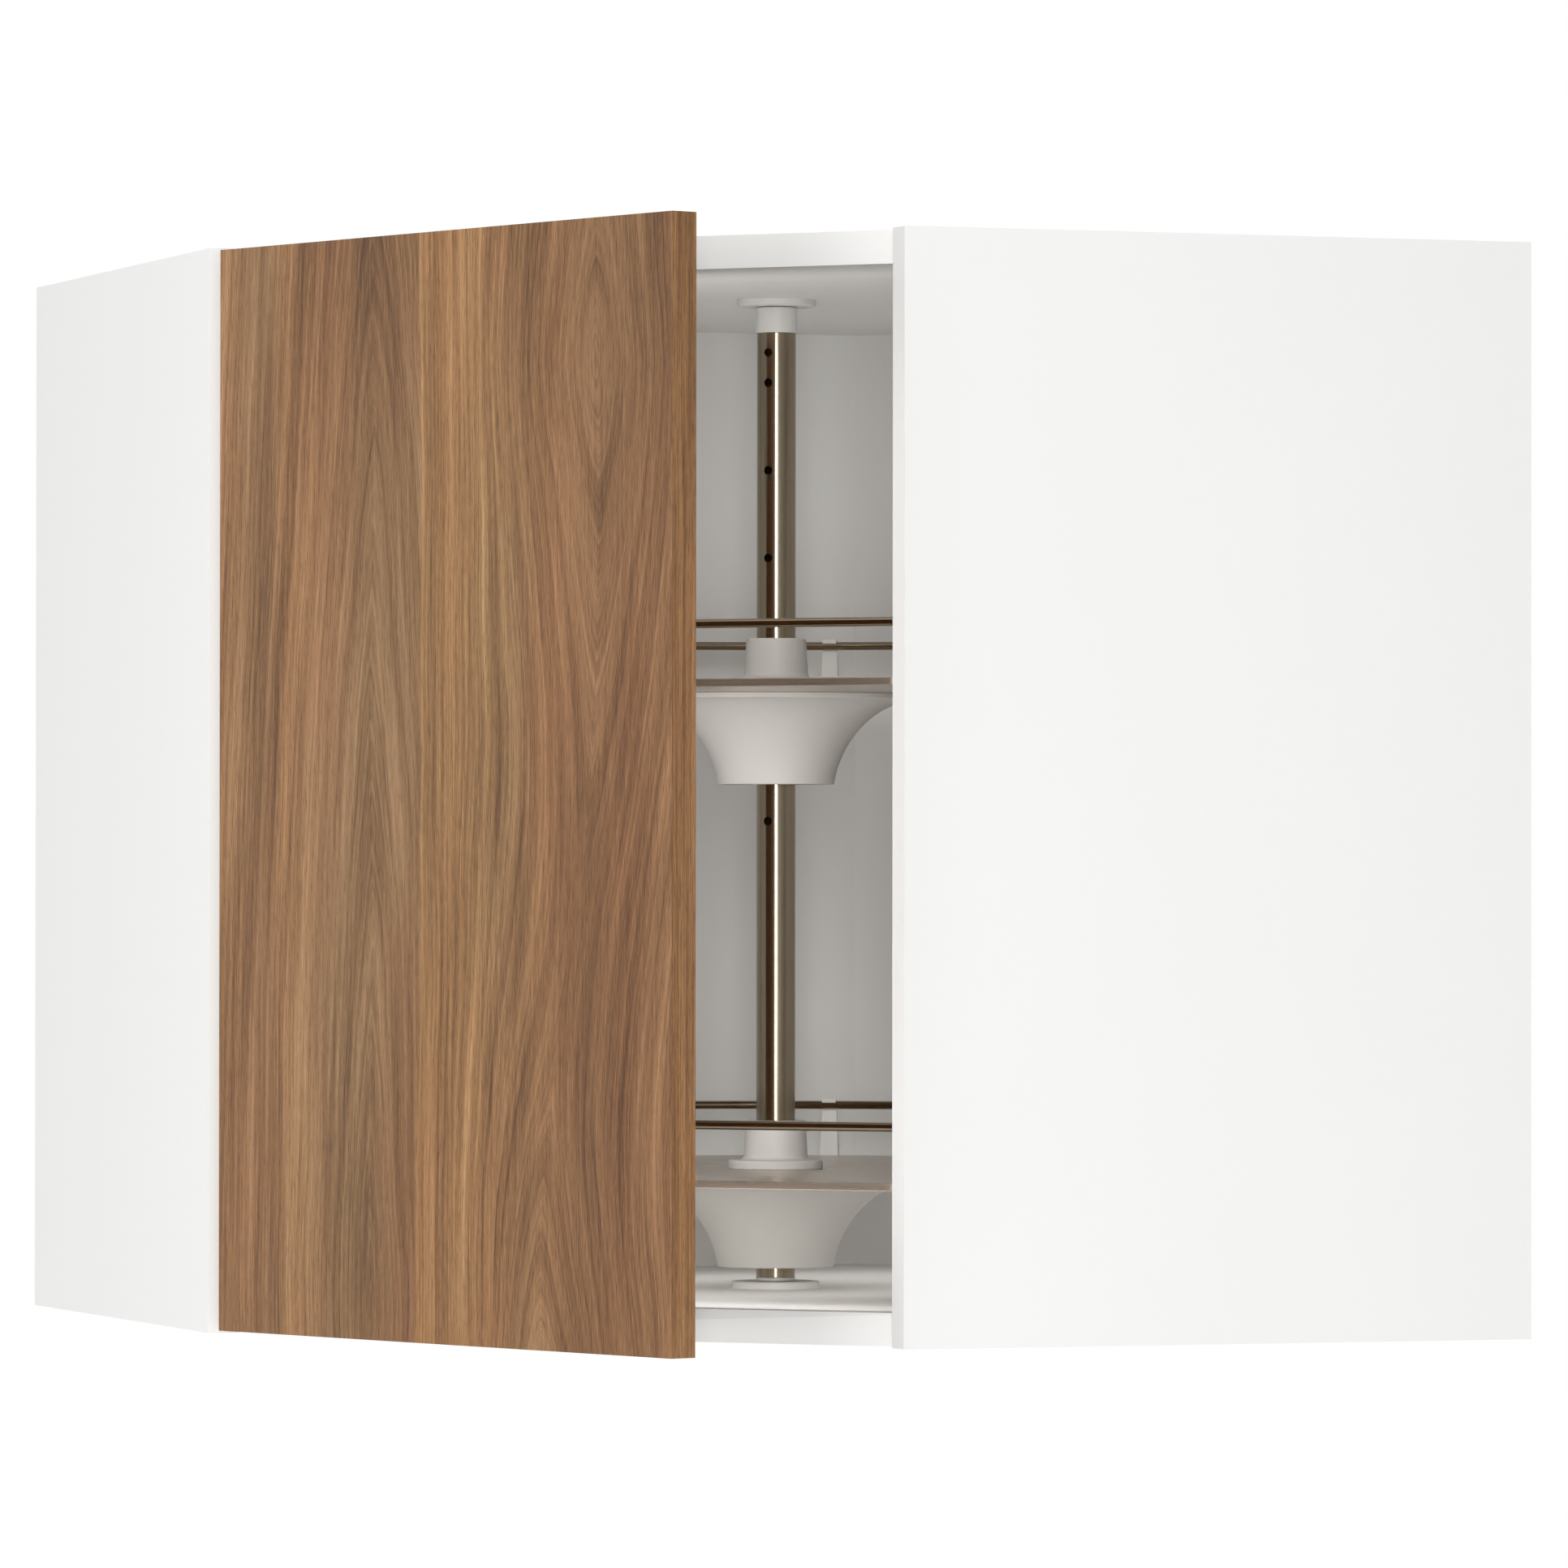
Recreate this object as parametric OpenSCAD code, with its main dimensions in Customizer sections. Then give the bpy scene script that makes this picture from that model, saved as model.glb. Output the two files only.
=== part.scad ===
// Diagonal corner wall cabinet with a turning two-shelf carousel.
// Origin: on the carousel axis, in the plane of the underside.
// +X points to the right wall, +Y to the rear wall, +Z up; the door faces (-X, -Y).
// The door stands ajar, as it does at rest; its closed and full positions are turns about the hinge axis.

/* [Cabinet] */
// Width along each wall, from the room corner to the outer side face
cabinet_w = 665; // [650:5:720]
// Depth of the two side panels
side_depth = 366; // [350:2:380]
// Height of the cabinet
cabinet_h = 600; // [560:10:720]
// Thickness of the side, top and bottom panels
panel_t = 18; // [16:0.5:20]
// Distance of the diagonal front edges behind the side panels' inner corners
front_setback = 14.4; // [10:0.2:18]
// Thickness of the back panels
back_t = 3; // [2.5:0.5:4]
// Space between the wall and the back panels
back_inset = 5; // [4:0.5:10]
// Depth of the grooves that hold the back panels
groove_d = 6; // [4:0.5:8]
// Cut-off at the room corner, measured along each wall
corner_cut = 150; // [130:5:170]

/* [Door] */
// Thickness of the door
door_t = 16; // [15.5:0.5:20]
// Reveal above and below the door
door_reveal = 1.5; // [1:0.5:4]
// How far the closed door covers the left side panel's inner corner
hinge_overlay = 1.8; // [1:0.1:2.2]
// Gap between the closed door and the right side panel's inner corner
latch_gap = 2.2; // [1:0.1:4]
// Clearance of the door's front edge as it turns past the side panel
edge_clear = 0.9; // [0.7:0.1:1.6]
// Angle at which the door stands open at rest
door_ajar = 25; // [0:1:100]

/* [Hinges] */
// Diameter of the hinge cup
cup_d = 35; // [34:0.5:36]
// Depth of the hinge cup in the door
cup_depth = 11.5; // [11:0.25:12.5]
// Distance from the door's edge to the cup
cup_edge = 4; // [3.5:0.25:4.5]
// Distance from the door's edge to the hinge axis
pivot_edge = 9.5; // [9:0.25:10]
// Depth of the hinge axis below the door's back face
pivot_depth = 7.5; // [7.2:0.1:7.8]
// Diameter of the hinge pins
hinge_pin_d = 2.5; // [2:0.1:2.8]
// Thickness of the hinge arm's steel
arm_t = 2; // [1.6:0.1:2.2]
// Least distance from the hinge centres to the cabinet's top and underside
hinge_end = 90; // [80:1:140]
// Distance from the side panels' front edges to the front row of holes
row_inset = 37; // [34:1:40]

/* [Carousel] */
// Clearance between the turning shelves and the back panels
shelf_wall_gap = 31; // [28:1:44]
// Clearance between the turning shelves and the closed door
shelf_door_gap = 3.75; // [3:0.25:16]
// Distance from the axis to the flat front edge of the shelves
shelf_flat = 212; // [195:0.5:225]
// Corner radius of the shelves
shelf_corner = 16; // [16:1:40]
// Thickness of the shelves
shelf_t = 4.5; // [3:0.5:8]
// Height of the lower shelf's top
lower_shelf_z = 86; // [84:1:110]
// Height from one shelf's top to the next
shelf_rise = 275; // [250:1:300]
// Outer diameter of the pole
pole_d = 22.2; // [20:0.2:24]
// Wall of the pole
pole_wall = 1.2; // [1:0.1:2]
// Diameter of the adjusting holes in the pole
hole_d = 5; // [4:0.25:6]
// Pitch of the adjusting holes
hole_pitch = 50; // [40:1:55]

/* [Hubs] */
// Height of the trumpet hub below the shelf
cone_h = 51.2; // [46:0.2:54]
// Radius of the trumpet hub at its foot
cone_foot_r = 33.2; // [30:0.2:38]
// How much the trumpet flares
cone_flare = 43; // [36:1:48]
// Radius of the trumpet hub's upper flange
cone_flange_r = 84; // [84:1:96]
// Thickness of the trumpet hub's upper flange
cone_flange_t = 3; // [2.5:0.5:4]
// Wall of the trumpet hub
cone_wall = 2.5; // [2:0.25:3.5]
// Height of the collar above the shelf
collar_h = 27.6; // [24:0.2:32]
// Radius of the collar at its top
collar_top_r = 17.1; // [16.5:0.1:19]
// Radius of the collar's foot flange
collar_flange_r = 26.9; // [24:0.1:32]
// Thickness of the collar's foot flange
collar_flange_t = 5.2; // [4:0.2:7]

/* [Rails] */
// Diameter of the rail wire
wire_d = 5; // [4:0.25:6]
// Height of the wire's centre above the shelf
rail_h = 30.2; // [24:0.2:40]
// Distance of the wire's centre inside the shelf's edge
rail_inset = 6; // [5:0.25:8]
// Width of a rail post at its top
post_w = 8; // [6:0.5:10]
// Width of a rail post at its foot
post_foot_w = 11; // [10:0.5:14]
// Angle of the first pair of posts from the back of the shelf
post_first = 18.5; // [15:0.5:25]
// Angle from one post to the next
post_step = 48; // [44:1:50]
// Pairs of posts on each shelf
post_pairs = 3; // [2:1:3]

/* [Bearings] */
// Radius of the upper bearing flange
top_flange_r = 22.5; // [18:0.5:26]
// Radius of the lower bearing flange
bottom_flange_r = 25.25; // [20:0.25:30]
// Thickness of both bearing flanges
flange_t = 4; // [3.5:0.25:6]
// Radius of the pivot studs that turn in the flanges
stud_r = 6; // [5:0.25:7]
// Length of the collar cap at the pole's top
top_cap_h = 14.6; // [10:0.2:20]
// Height of the plug's rim at the pole's foot
plug_rim_h = 1.8; // [1.5:0.1:4]

/* [Hidden] */
$fn = 96;

// Fits and small sizes shared by several pieces
fit = 0.05;                 // clearance of pins, screws and dowels in their holes
running = 0.06;             // radial clearance of the turning studs
axial_gap = 0.35;           // running gap above and below the turning pole
seat_gap = 0.1;             // gap between slotted panels and their grooves
mitre_gap = 0.02;           // gap where two back panels meet
cut = 1;                    // overshoot of cutting tools

// Plan: the carousel is placed so that it clears the walls and the closed door alike
wall_in = back_inset + back_t;
corner_line = (cabinet_w - panel_t + side_depth) / sqrt(2);
opening = (cabinet_w - panel_t - side_depth) * sqrt(2);
door_gap = sqrt(2) * (edge_clear + norm([pivot_edge, door_t - pivot_depth]))
         - pivot_edge + hinge_overlay - pivot_depth;
shelf_r = (corner_line - sqrt(2) * (wall_in + shelf_wall_gap) + door_gap - shelf_door_gap)
        / (1 + sqrt(2));
axis_inset = wall_in + shelf_wall_gap + shelf_r;
diagonal = corner_line - sqrt(2) * axis_inset;      // axis to the line of the inner corners
front_edge = diagonal - front_setback;              // axis to the top and bottom panels' edge
out_side = axis_inset - cabinet_w;                  // outer side face, in x and in y
in_side = out_side + panel_t;                       // inner side face
side_front = axis_inset - side_depth;               // front edge of a side panel
interior_top = cabinet_h - panel_t;

// Door and hinge, in the diagonal frame: x to the right along the door, y into the cabinet
door_h = cabinet_h - 2 * door_reveal;
door_front = -(diagonal + door_gap + door_t);
door_back = door_front + door_t;
door_left = -opening / 2 - hinge_overlay;
door_w = opening + hinge_overlay - latch_gap;
pivot_x = door_left + pivot_edge;
pivot_y = door_back - pivot_depth;
pivot_world = [(pivot_x + pivot_y) / sqrt(2), (pivot_y - pivot_x) / sqrt(2)];
hole_spacing = 32;          // system holes: pitch, diameter and depth
system_hole_d = 5;
system_hole_depth = 12;
hinge_steps = floor((cabinet_h - 2 * hinge_end) / hole_spacing);
hinge_zs = [for (s = [-1, 1]) cabinet_h / 2 + s * hinge_steps * hole_spacing / 2];
cup_r = cup_d / 2;
cup_x = door_left + cup_edge + cup_r;
cup_wall = 1;
cup_flange_t = 1.2;
barrel_r = hinge_pin_d / 2 + 1;
neck_w = 8;                 // width of the hinge neck, along the pin
neck_reach = 12;            // first stretch of the neck, inside the cup
neck_bend = 4;              // inner line of the neck's bend
neck_rise = 10;             // height of the neck above the pin
arm_half = 5;               // half height of the arm channel
arm_w = 15;                 // width of the arm channel
arm_lead = 7;               // neck length before the channel begins
arm_len = 74;
arm_screw_back = 20;        // screws of the arm, from its rear end
arm_screw_mid = 44;
plate_t = 9;                // mounting plate, off the side panel

// Carousel
upper_shelf_z = lower_shelf_z + shelf_rise;
rail_r = shelf_r - rail_inset;
rail_flat = shelf_flat - rail_inset;
rail_corner = shelf_corner - rail_inset;
corner_u = sqrt(pow(shelf_r - shelf_corner, 2) - pow(shelf_flat - shelf_corner, 2));
corner_angle = atan2(corner_u, shelf_flat - shelf_corner);
pole_r = pole_d / 2;
sleeve_r = pole_r + 2.9;    // hub tube round the pole
pin_drop = 26.7;            // locking pin below the shelf's top
pole_foot_z = panel_t + flange_t + axial_gap + plug_rim_h;
pole_top_z = interior_top - flange_t - axial_gap - top_cap_h;
cap_r = pole_r + 0.8;       // the cap stands a little proud of the pole
insert_h = 20;              // how far the plug reaches into the pole
cap_insert_h = 8;           // how far the cap reaches into the pole
bearing_floor = 1.2;        // material left under a bearing's bore
thrust_gap = 0.05;          // play under the lower stud
last_hole = 17.3;           // uppermost hole, above the last one of the row
first_hole_z = upper_shelf_z - pin_drop - hole_pitch;

// ---------- helpers ----------

// Turns the diagonal frame into the cabinet's own
module diagonal_frame() { rotate([0, 0, -45]) children(); }

// Draws the right half as the mirror image of the left, across the diagonal
module mirrored_side() { mirror([1, -1, 0]) children(); }

// Stands a piece of the door at the angle of rest
module door_pose() {
    translate([pivot_world[0], pivot_world[1], 0]) rotate([0, 0, -door_ajar])
        translate([-pivot_world[0], -pivot_world[1], 0]) diagonal_frame() children();
}

// One piece at each hinge
module at_hinges() { for (z = hinge_zs) translate([0, 0, z]) children(); }

// Countersunk screw, head upwards, tip down; its cross recess is cut by the caller
module countersunk(head_r, shank_r, length) {
    rotate_extrude() polygon([
        [0, 0], [head_r, 0], [head_r, -0.4], [shank_r, -0.4 - (head_r - shank_r)],
        [shank_r, -length + 2], [0.6, -length], [0, -length]
    ]);
}

// Hole for a countersunk screw, open upwards
module countersunk_hole(head_r, shank_r, length) {
    g = 0.07;
    rotate_extrude() polygon([
        [0, cut], [head_r + g, cut], [head_r + g, -0.4],
        [shank_r + g, -0.4 - (head_r - shank_r)], [shank_r + g, -length - g], [0, -length - g]
    ]);
}

// Cross recess of a screw head, below z = 0
module cross_recess(r, depth) {
    for (a = [0, 90]) rotate([0, 0, a])
        translate([-r, -0.4, -depth]) cube([2 * r, 0.8, depth + cut]);
}

// ---------- cabinet ----------

// Plan of the top and bottom panels
module deck_plan() {
    c = axis_inset - corner_cut;
    f = -front_edge * sqrt(2) - in_side;
    polygon([[in_side, axis_inset], [c, axis_inset], [axis_inset, c],
             [axis_inset, in_side], [f, in_side], [in_side, f]]);
}

// Plan of the rear back panel, grown by g for its groove
module rear_back_plan(g = 0) {
    y1 = axis_inset - back_inset + g;
    y0 = axis_inset - wall_in - g;
    e = axis_inset - corner_cut - mitre_gap + g;
    polygon([[in_side - groove_d + seat_gap - g, y0], [e - wall_in * (sqrt(2) - 1), y0],
             [e - back_inset * (sqrt(2) - 1), y1], [in_side - groove_d + seat_gap - g, y1]]);
}

// Plan of the diagonal back panel at the room corner, grown by g for its groove
module corner_back_plan(g = 0) {
    e = axis_inset - corner_cut;
    a = e - wall_in * (sqrt(2) - 1) - g;
    b = e - back_inset * (sqrt(2) - 1) + g;
    w = axis_inset - wall_in - g;
    v = axis_inset - back_inset + g;
    k = 2 * g;
    polygon([[a - k, w + k], [w + k, a - k], [v + k, b - k], [b - k, v + k]]);
}

// Grooves for all three back panels
module back_grooves(z) {
    translate([0, 0, z]) linear_extrude(groove_d + cut) {
        rear_back_plan(seat_gap);
        mirror([1, -1]) rear_back_plan(seat_gap);
        corner_back_plan(seat_gap);
    }
}

back_bottom_z = panel_t - groove_d + seat_gap;
back_h = interior_top - panel_t + 2 * (groove_d - seat_gap);
dowel_r = 4;
dowel_in_side = 10;
dowel_in_deck = 20;
dowel_ys = [side_front + 60, axis_inset - 60];
cam_ys = [side_front + 100, axis_inset - 100];
deck_mids = [panel_t / 2, cabinet_h - panel_t / 2];
cam_r = 7.5;
cam_depth = 12.5;
cam_inset = 34;
cam_bolt_r = 3;

// Places one piece at each joint between the left side panel and the decks
module at_left_joints(ys) {
    for (z = deck_mids, y = ys) translate([in_side, y, z]) children();
}

// Dowels across one joint, length along x; g enlarges them into their holes
module dowel(g = 0) {
    translate([-dowel_in_side - g, 0, 0]) rotate([0, 90, 0])
        cylinder(r = dowel_r + g, h = dowel_in_side + dowel_in_deck + 2 * g, $fn = 32);
}

// Bolt of a cam fitting, screwed into the side panel
module cam_bolt(g = 0) {
    translate([-dowel_in_side - g, 0, 0]) rotate([0, 90, 0])
        cylinder(r = cam_bolt_r + g, h = dowel_in_side + cam_inset - cam_r + 5 + g, $fn = 32);
}

// Rows of system holes in a side panel's inner face; the hinge plates use the front row
row_ys = [side_front + row_inset, axis_inset - 64];
module system_holes() {
    for (y = row_ys, i = [0 : hinge_steps + 1])
        translate([in_side - system_hole_depth, y, hinge_zs[0] + (i - 0.5) * hole_spacing])
            rotate([0, 90, 0])
                cylinder(d = system_hole_d, h = system_hole_depth + cut, $fn = 24);
}

module side_panel() {
    difference() {
        translate([out_side, side_front, 0]) cube([panel_t, side_depth, cabinet_h]);
        translate([0, 0, back_bottom_z - seat_gap * 2]) linear_extrude(back_h + 4 * seat_gap)
            rear_back_plan(seat_gap);
        at_left_joints(dowel_ys) dowel(fit);
        at_left_joints(cam_ys) cam_bolt(fit);
        system_holes();
        hanger_pegs(fit);
    }
}

module left_side_panel() { color("whitesmoke") side_panel(); }

module right_side_panel() { color("whitesmoke") mirrored_side() side_panel(); }

// Dowel and cam holes of one deck, on both of its sides
module deck_holes(z, up) {
    for (m = [0, 1]) mirror([m, -m, 0]) {
        for (y = dowel_ys) translate([in_side, y, z]) dowel(fit);
        for (y = cam_ys) translate([in_side, y, z]) {
            cam_bolt(fit);
            cam_place(up) cylinder(r = cam_r + fit, h = cam_depth + cut, $fn = 48);
        }
    }
}

// Frame of a cam: its open face lies in the deck's outer face, z pointing out
module cam_place(up) {
    translate([cam_inset, 0, up * (panel_t / 2 - cam_depth)]) mirror([0, 0, up > 0 ? 0 : 1])
        children();
}

module deck(z, up) {
    difference() {
        translate([0, 0, z]) linear_extrude(panel_t) deck_plan();
        back_grooves(up > 0 ? z - cut : z + panel_t - groove_d);
        deck_holes(z + panel_t / 2, up);
        translate([0, 0, up > 0 ? z : z + panel_t]) mirror([0, 0, up > 0 ? 1 : 0])
            flange_screw_holes(up > 0 ? top_flange_r : bottom_flange_r);
    }
}

module top_panel() { color("white") deck(interior_top, 1); }

module bottom_panel() { color("white") deck(0, -1); }

// Notch in a back panel, through which a hanger's hook reaches the wall
hanger_h = 62;
hanger_w = 17;
hanger_l = 44;
hanger_z = interior_top - 12 - hanger_h;
hook_t = 2.5;
hook_x = 7;
hook_z = hanger_z + hanger_h - 22;
hook_rise = 15;             // upper and lower reach of the hook's strip
hook_drop = 26;
module hook_notch() {
    translate([in_side + 4, axis_inset - wall_in - cut, hook_z - 4])
        cube([9, back_t + 2 * cut, 26]);
}

module rear_back() {
    difference() {
        translate([0, 0, back_bottom_z]) linear_extrude(back_h) rear_back_plan();
        hook_notch();
    }
}

module rear_back_panel() { color("lightgray") rear_back(); }

module right_back_panel() { color("lightgray") mirrored_side() rear_back(); }

module corner_back_panel() {
    color("lightgray") translate([0, 0, back_bottom_z]) linear_extrude(back_h) corner_back_plan();
}

module wood_dowels() {
    color("burlywood") for (m = [0, 1]) mirror([m, -m, 0]) at_left_joints(dowel_ys) dowel();
}

module cam_bolts() {
    color("silver") for (m = [0, 1]) mirror([m, -m, 0]) at_left_joints(cam_ys) cam_bolt();
}

// Eccentric of a knock-down fitting, with its driver slot
module cam_locks() {
    color("gray") for (m = [0, 1], end = [0, 1]) mirror([m, -m, 0])
        for (y = cam_ys) translate([in_side, y, deck_mids[end]])
            cam_place(end > 0 ? 1 : -1) difference() {
                translate([0, 0, fit]) cylinder(r = cam_r, h = cam_depth - fit, $fn = 48);
                translate([0, 0, cam_depth]) cross_recess(4, 2.5);
                translate([-cam_r - cut, 0, cam_depth - panel_t / 2]) rotate([0, 90, 0])
                    cylinder(r = cam_bolt_r + 0.6, h = cam_r, $fn = 32);
            }
}

// Hanger on a side panel, just in front of the back panel
module hanger_place() { translate([in_side, axis_inset - wall_in, hanger_z]) children(); }

// Pegs that hold a hanger in the side panel; g enlarges them into their holes
module hanger_pegs(g = 0) {
    hanger_place() for (z = [12, hanger_h - 12]) translate([-8 - g, -hanger_l + 12, z])
        rotate([0, 90, 0]) cylinder(r = 5 + g, h = 10, $fn = 48);
}

module hanger_housing() {
    hanger_pegs();
    hanger_place() difference() {
        translate([0.05, -hanger_l - 0.1, 0]) cube([hanger_w, hanger_l, hanger_h]);
        translate([hook_x - fit, -hanger_l + 6, 8])
            cube([hook_t + 2 * fit, hanger_l, hanger_h - 14]);
        for (z = [16, 44]) translate([hook_x + hook_t / 2, -hanger_l - cut, z])
            rotate([-90, 0, 0]) cylinder(r = 3, h = 9, $fn = 32);
    }
}

module hanger_housings() {
    color("whitesmoke") { hanger_housing(); mirrored_side() hanger_housing(); }
}

// Steel hook: a flat strip that leaves the housing and turns down behind the wall rail
module hanger_hook() {
    translate([in_side + hook_x, 0, 0]) rotate([90, 0, 90]) linear_extrude(hook_t) polygon([
        [axis_inset - wall_in - hanger_l + 6.1, hook_z - hook_drop],
        [axis_inset - wall_in - 8, hook_z - hook_drop],
        [axis_inset - wall_in - 8, hook_z],
        [axis_inset - 6, hook_z],
        [axis_inset - 6, hook_z - 3],
        [axis_inset - 2, hook_z - 3],
        [axis_inset - 2, hook_z + hook_rise],
        [axis_inset - wall_in - hanger_l + 6.1, hook_z + hook_rise]
    ]);
}

module hanger_hooks() {
    color("silver") { hanger_hook(); mirrored_side() hanger_hook(); }
}

// ---------- door and hinges ----------

module door_panel() {
    color("saddlebrown") door_pose() difference() {
        translate([door_left, door_front, door_reveal]) cube([door_w, door_t, door_h]);
        at_hinges() {
            translate([cup_x, door_back + cut, 0]) rotate([90, 0, 0])
                cylinder(r = cup_r + fit, h = cup_depth + cut + fit);
            cup_screw_places() rotate([90, 0, 0])
                cylinder(r = 1.5, h = 11, $fn = 24);
        }
    }
}

// Screw places of a cup's flange, on the door's back face
module cup_screw_places() {
    for (s = [-1, 1]) translate([cup_x + 9.5, door_back, s * 24]) children();
}

module hinge_cup() {
    difference() {
        union() {
            translate([cup_x, door_back, 0]) rotate([90, 0, 0]) cylinder(r = cup_r, h = cup_depth);
            translate([cup_x, door_back + cup_flange_t, 0]) rotate([90, 0, 0])
                linear_extrude(cup_flange_t) {
                    circle(r = cup_r + 1.2);
                    translate([1, -29]) square([17, 58]);
                }
        }
        translate([cup_x, door_back + cup_flange_t + cut, 0]) rotate([90, 0, 0])
            cylinder(r = cup_r - cup_wall, h = cup_depth + cup_flange_t + cut - cup_wall);
        cup_screw_places() rotate([-90, 0, 0]) translate([0, 0, -cut])
            cylinder(r = 2.1, h = cup_flange_t + 2 * cut, $fn = 32);
    }
    // two cheeks inside the cup carry the pin
    for (s = [-1, 1]) difference() {
        intersection() {
            translate([pivot_x - 2.6, door_back - cup_depth + 0.5, s * (neck_w / 2 + 1.1) - 0.9])
                cube([5.6, cup_depth - cup_wall, 1.8]);
            translate([cup_x, door_back, 0]) rotate([90, 0, 0])
                cylinder(r = cup_r - cup_wall / 2, h = cup_depth);
        }
        translate([pivot_x, pivot_y, -neck_w]) cylinder(r = hinge_pin_d / 2 + fit, h = 2 * neck_w);
    }
}

module hinge_cups() { color("silver") door_pose() at_hinges() hinge_cup(); }

module hinge_cup_screws() {
    color("gainsboro") door_pose() at_hinges() cup_screw_places() rotate([-90, 0, 0])
        translate([0, 0, cup_flange_t + 0.1]) difference() {
            union() {
                cylinder(r1 = 3.4, r2 = 2.8, h = 1.6);
                translate([0, 0, -10.5]) cylinder(r = 1.5 - fit, h = 10.6, $fn = 24);
            }
            translate([0, 0, 1.6]) cross_recess(1.8, 1);
        }
}

module hinge_pins() {
    color("gray") door_pose() at_hinges() translate([pivot_x, pivot_y, -neck_w / 2 - 2])
        cylinder(d = hinge_pin_d, h = neck_w + 4, $fn = 32);
}

// Curved neck in plan, from the pin out of the cup and round to the arm, closed-door frame
module neck_plan() {
    h = arm_t / 2;
    c = neck_bend;
    translate([pivot_x, pivot_y]) {
        circle(r = barrel_r, $fn = 48);
        translate([0, -h]) square([neck_reach, arm_t]);
        translate([neck_reach, c]) difference() {
            intersection() {
                circle(r = c + h, $fn = 64);
                translate([0, -c - h]) square(c + h);
            }
            circle(r = c - h, $fn = 64);
        }
        translate([neck_reach + c - h, c]) square([arm_t, neck_rise - c]);
        translate([neck_reach + c, neck_rise]) {
            circle(r = h, $fn = 32);
            rotate(135) translate([0, -h]) square([arm_lead + 4, arm_t]);
        }
    }
}

// World place of the neck's end: the arm runs from here along +Y
arm_x = (pivot_x + neck_reach + neck_bend + pivot_y + neck_rise) / sqrt(2);
arm_y = (pivot_y + neck_rise - pivot_x - neck_reach - neck_bend) / sqrt(2) + arm_lead;

// Channel-shaped arm, open towards the side panel, with a slotted hole for its screw
module arm_channel() {
    x0 = in_side + plate_t + 0.1;
    x1 = arm_x + arm_half;
    translate([0, arm_y, 0]) difference() {
        translate([x0, 0, -arm_w / 2]) cube([x1 - x0, arm_len, arm_w]);
        translate([x0 - cut, -cut, -arm_w / 2 + 1.5])
            cube([x1 - x0 - 1.8 + cut, arm_len + 2 * cut, arm_w - 3]);
        translate([x0 - cut, -cut, -arm_w]) cube([3, 16, 2 * arm_w]);
        for (d = [arm_screw_back, arm_screw_mid]) translate([x1 - 3, arm_len - d, 0])
            rotate([0, 90, 0]) cylinder(r = 2.6, h = 5, $fn = 32);
    }
}

module hinge_arm() {
    difference() {
        union() {
            diagonal_frame() translate([0, 0, -neck_w / 2]) linear_extrude(neck_w) neck_plan();
            arm_channel();
            // web that closes the channel's nose round the neck
            translate([arm_x - 3.5, arm_y, -arm_w / 2]) cube([arm_half + 3.5, 3, arm_w]);
        }
        diagonal_frame() translate([pivot_x, pivot_y, -neck_w])
            cylinder(r = hinge_pin_d / 2 + fit, h = 2 * neck_w, $fn = 48);
    }
}

module hinge_arms() { color("silver") at_hinges() hinge_arm(); }

plate_y = side_front + row_inset;
plate_screw_r = system_hole_d / 2 - fit;
// Mounting plate: a wing with two screws and a raised block under the arm
module hinge_plate() {
    difference() {
        union() {
            translate([in_side + 0.05, plate_y - 9, -25]) cube([3.5, 18, 50]);
            translate([in_side + 0.05, arm_y + arm_len - 54, -7.5]) cube([plate_t, 50, 15]);
        }
        for (s = [-1, 1]) translate([in_side + 3.5, plate_y, s * hole_spacing / 2])
            rotate([0, 90, 0]) countersunk_hole(4, plate_screw_r, 14.5);
        for (d = [arm_screw_back, arm_screw_mid]) translate([in_side + 1.5, arm_y + arm_len - d, 0])
            rotate([0, 90, 0]) cylinder(r = 1.7 + fit, h = plate_t, $fn = 32);
    }
}

module hinge_plates() { color("silver") at_hinges() hinge_plate(); }

module hinge_plate_screws() {
    color("gainsboro") at_hinges() for (s = [-1, 1])
        translate([in_side + 3.5, plate_y, s * hole_spacing / 2]) rotate([0, 90, 0])
            difference() {
                countersunk(4, plate_screw_r, 14.5);
                cross_recess(2, 1.2);
            }
}

// Screws that fix the arm on its plate
module arm_screws() {
    color("gainsboro") at_hinges() for (d = [arm_screw_back, arm_screw_mid])
        translate([arm_x + arm_half + 0.1, arm_y + arm_len - d, 0]) rotate([0, 90, 0])
            difference() {
                union() {
                    cylinder(r = 3.6, h = 1.8, $fn = 32);
                    translate([0, 0, -(arm_x + arm_half - in_side - 2)])
                        cylinder(r = 1.7, h = arm_x + arm_half - in_side - 2, $fn = 32);
                }
                translate([0, 0, 1.8]) cross_recess(2.2, 1.1);
            }
}

// ---------- bearings and pole ----------

screw_circle = 0.72;        // share of a flange's radius at which its screws stand
flange_screw_l = 14;
module flange_screw_places(r) {
    for (a = [0, 120, 240]) rotate([0, 0, a]) translate([r * screw_circle, 0, 0]) children();
}

// Holes of the three screws, from the flange's face down
module flange_screw_holes(r) {
    flange_screw_places(r) translate([0, 0, flange_t - 0.2])
        countersunk_hole(3.4, 1.45, flange_screw_l);
}

// Flange with a blind bearing and three countersunk holes, foot at z = 0
module bearing_flange(r) {
    difference() {
        rotate_extrude() polygon([
            [0, 0.05], [r, 0.05], [r, flange_t - 0.8], [r - 0.8, flange_t],
            [stud_r + running, flange_t], [stud_r + running, bearing_floor], [0, bearing_floor]
        ]);
        flange_screw_holes(r);
    }
}

module bottom_bearing_flange() {
    color("ghostwhite") translate([0, 0, panel_t]) bearing_flange(bottom_flange_r);
}

module top_bearing_flange() {
    color("ghostwhite") translate([0, 0, interior_top]) mirror([0, 0, 1])
        bearing_flange(top_flange_r);
}

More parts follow.
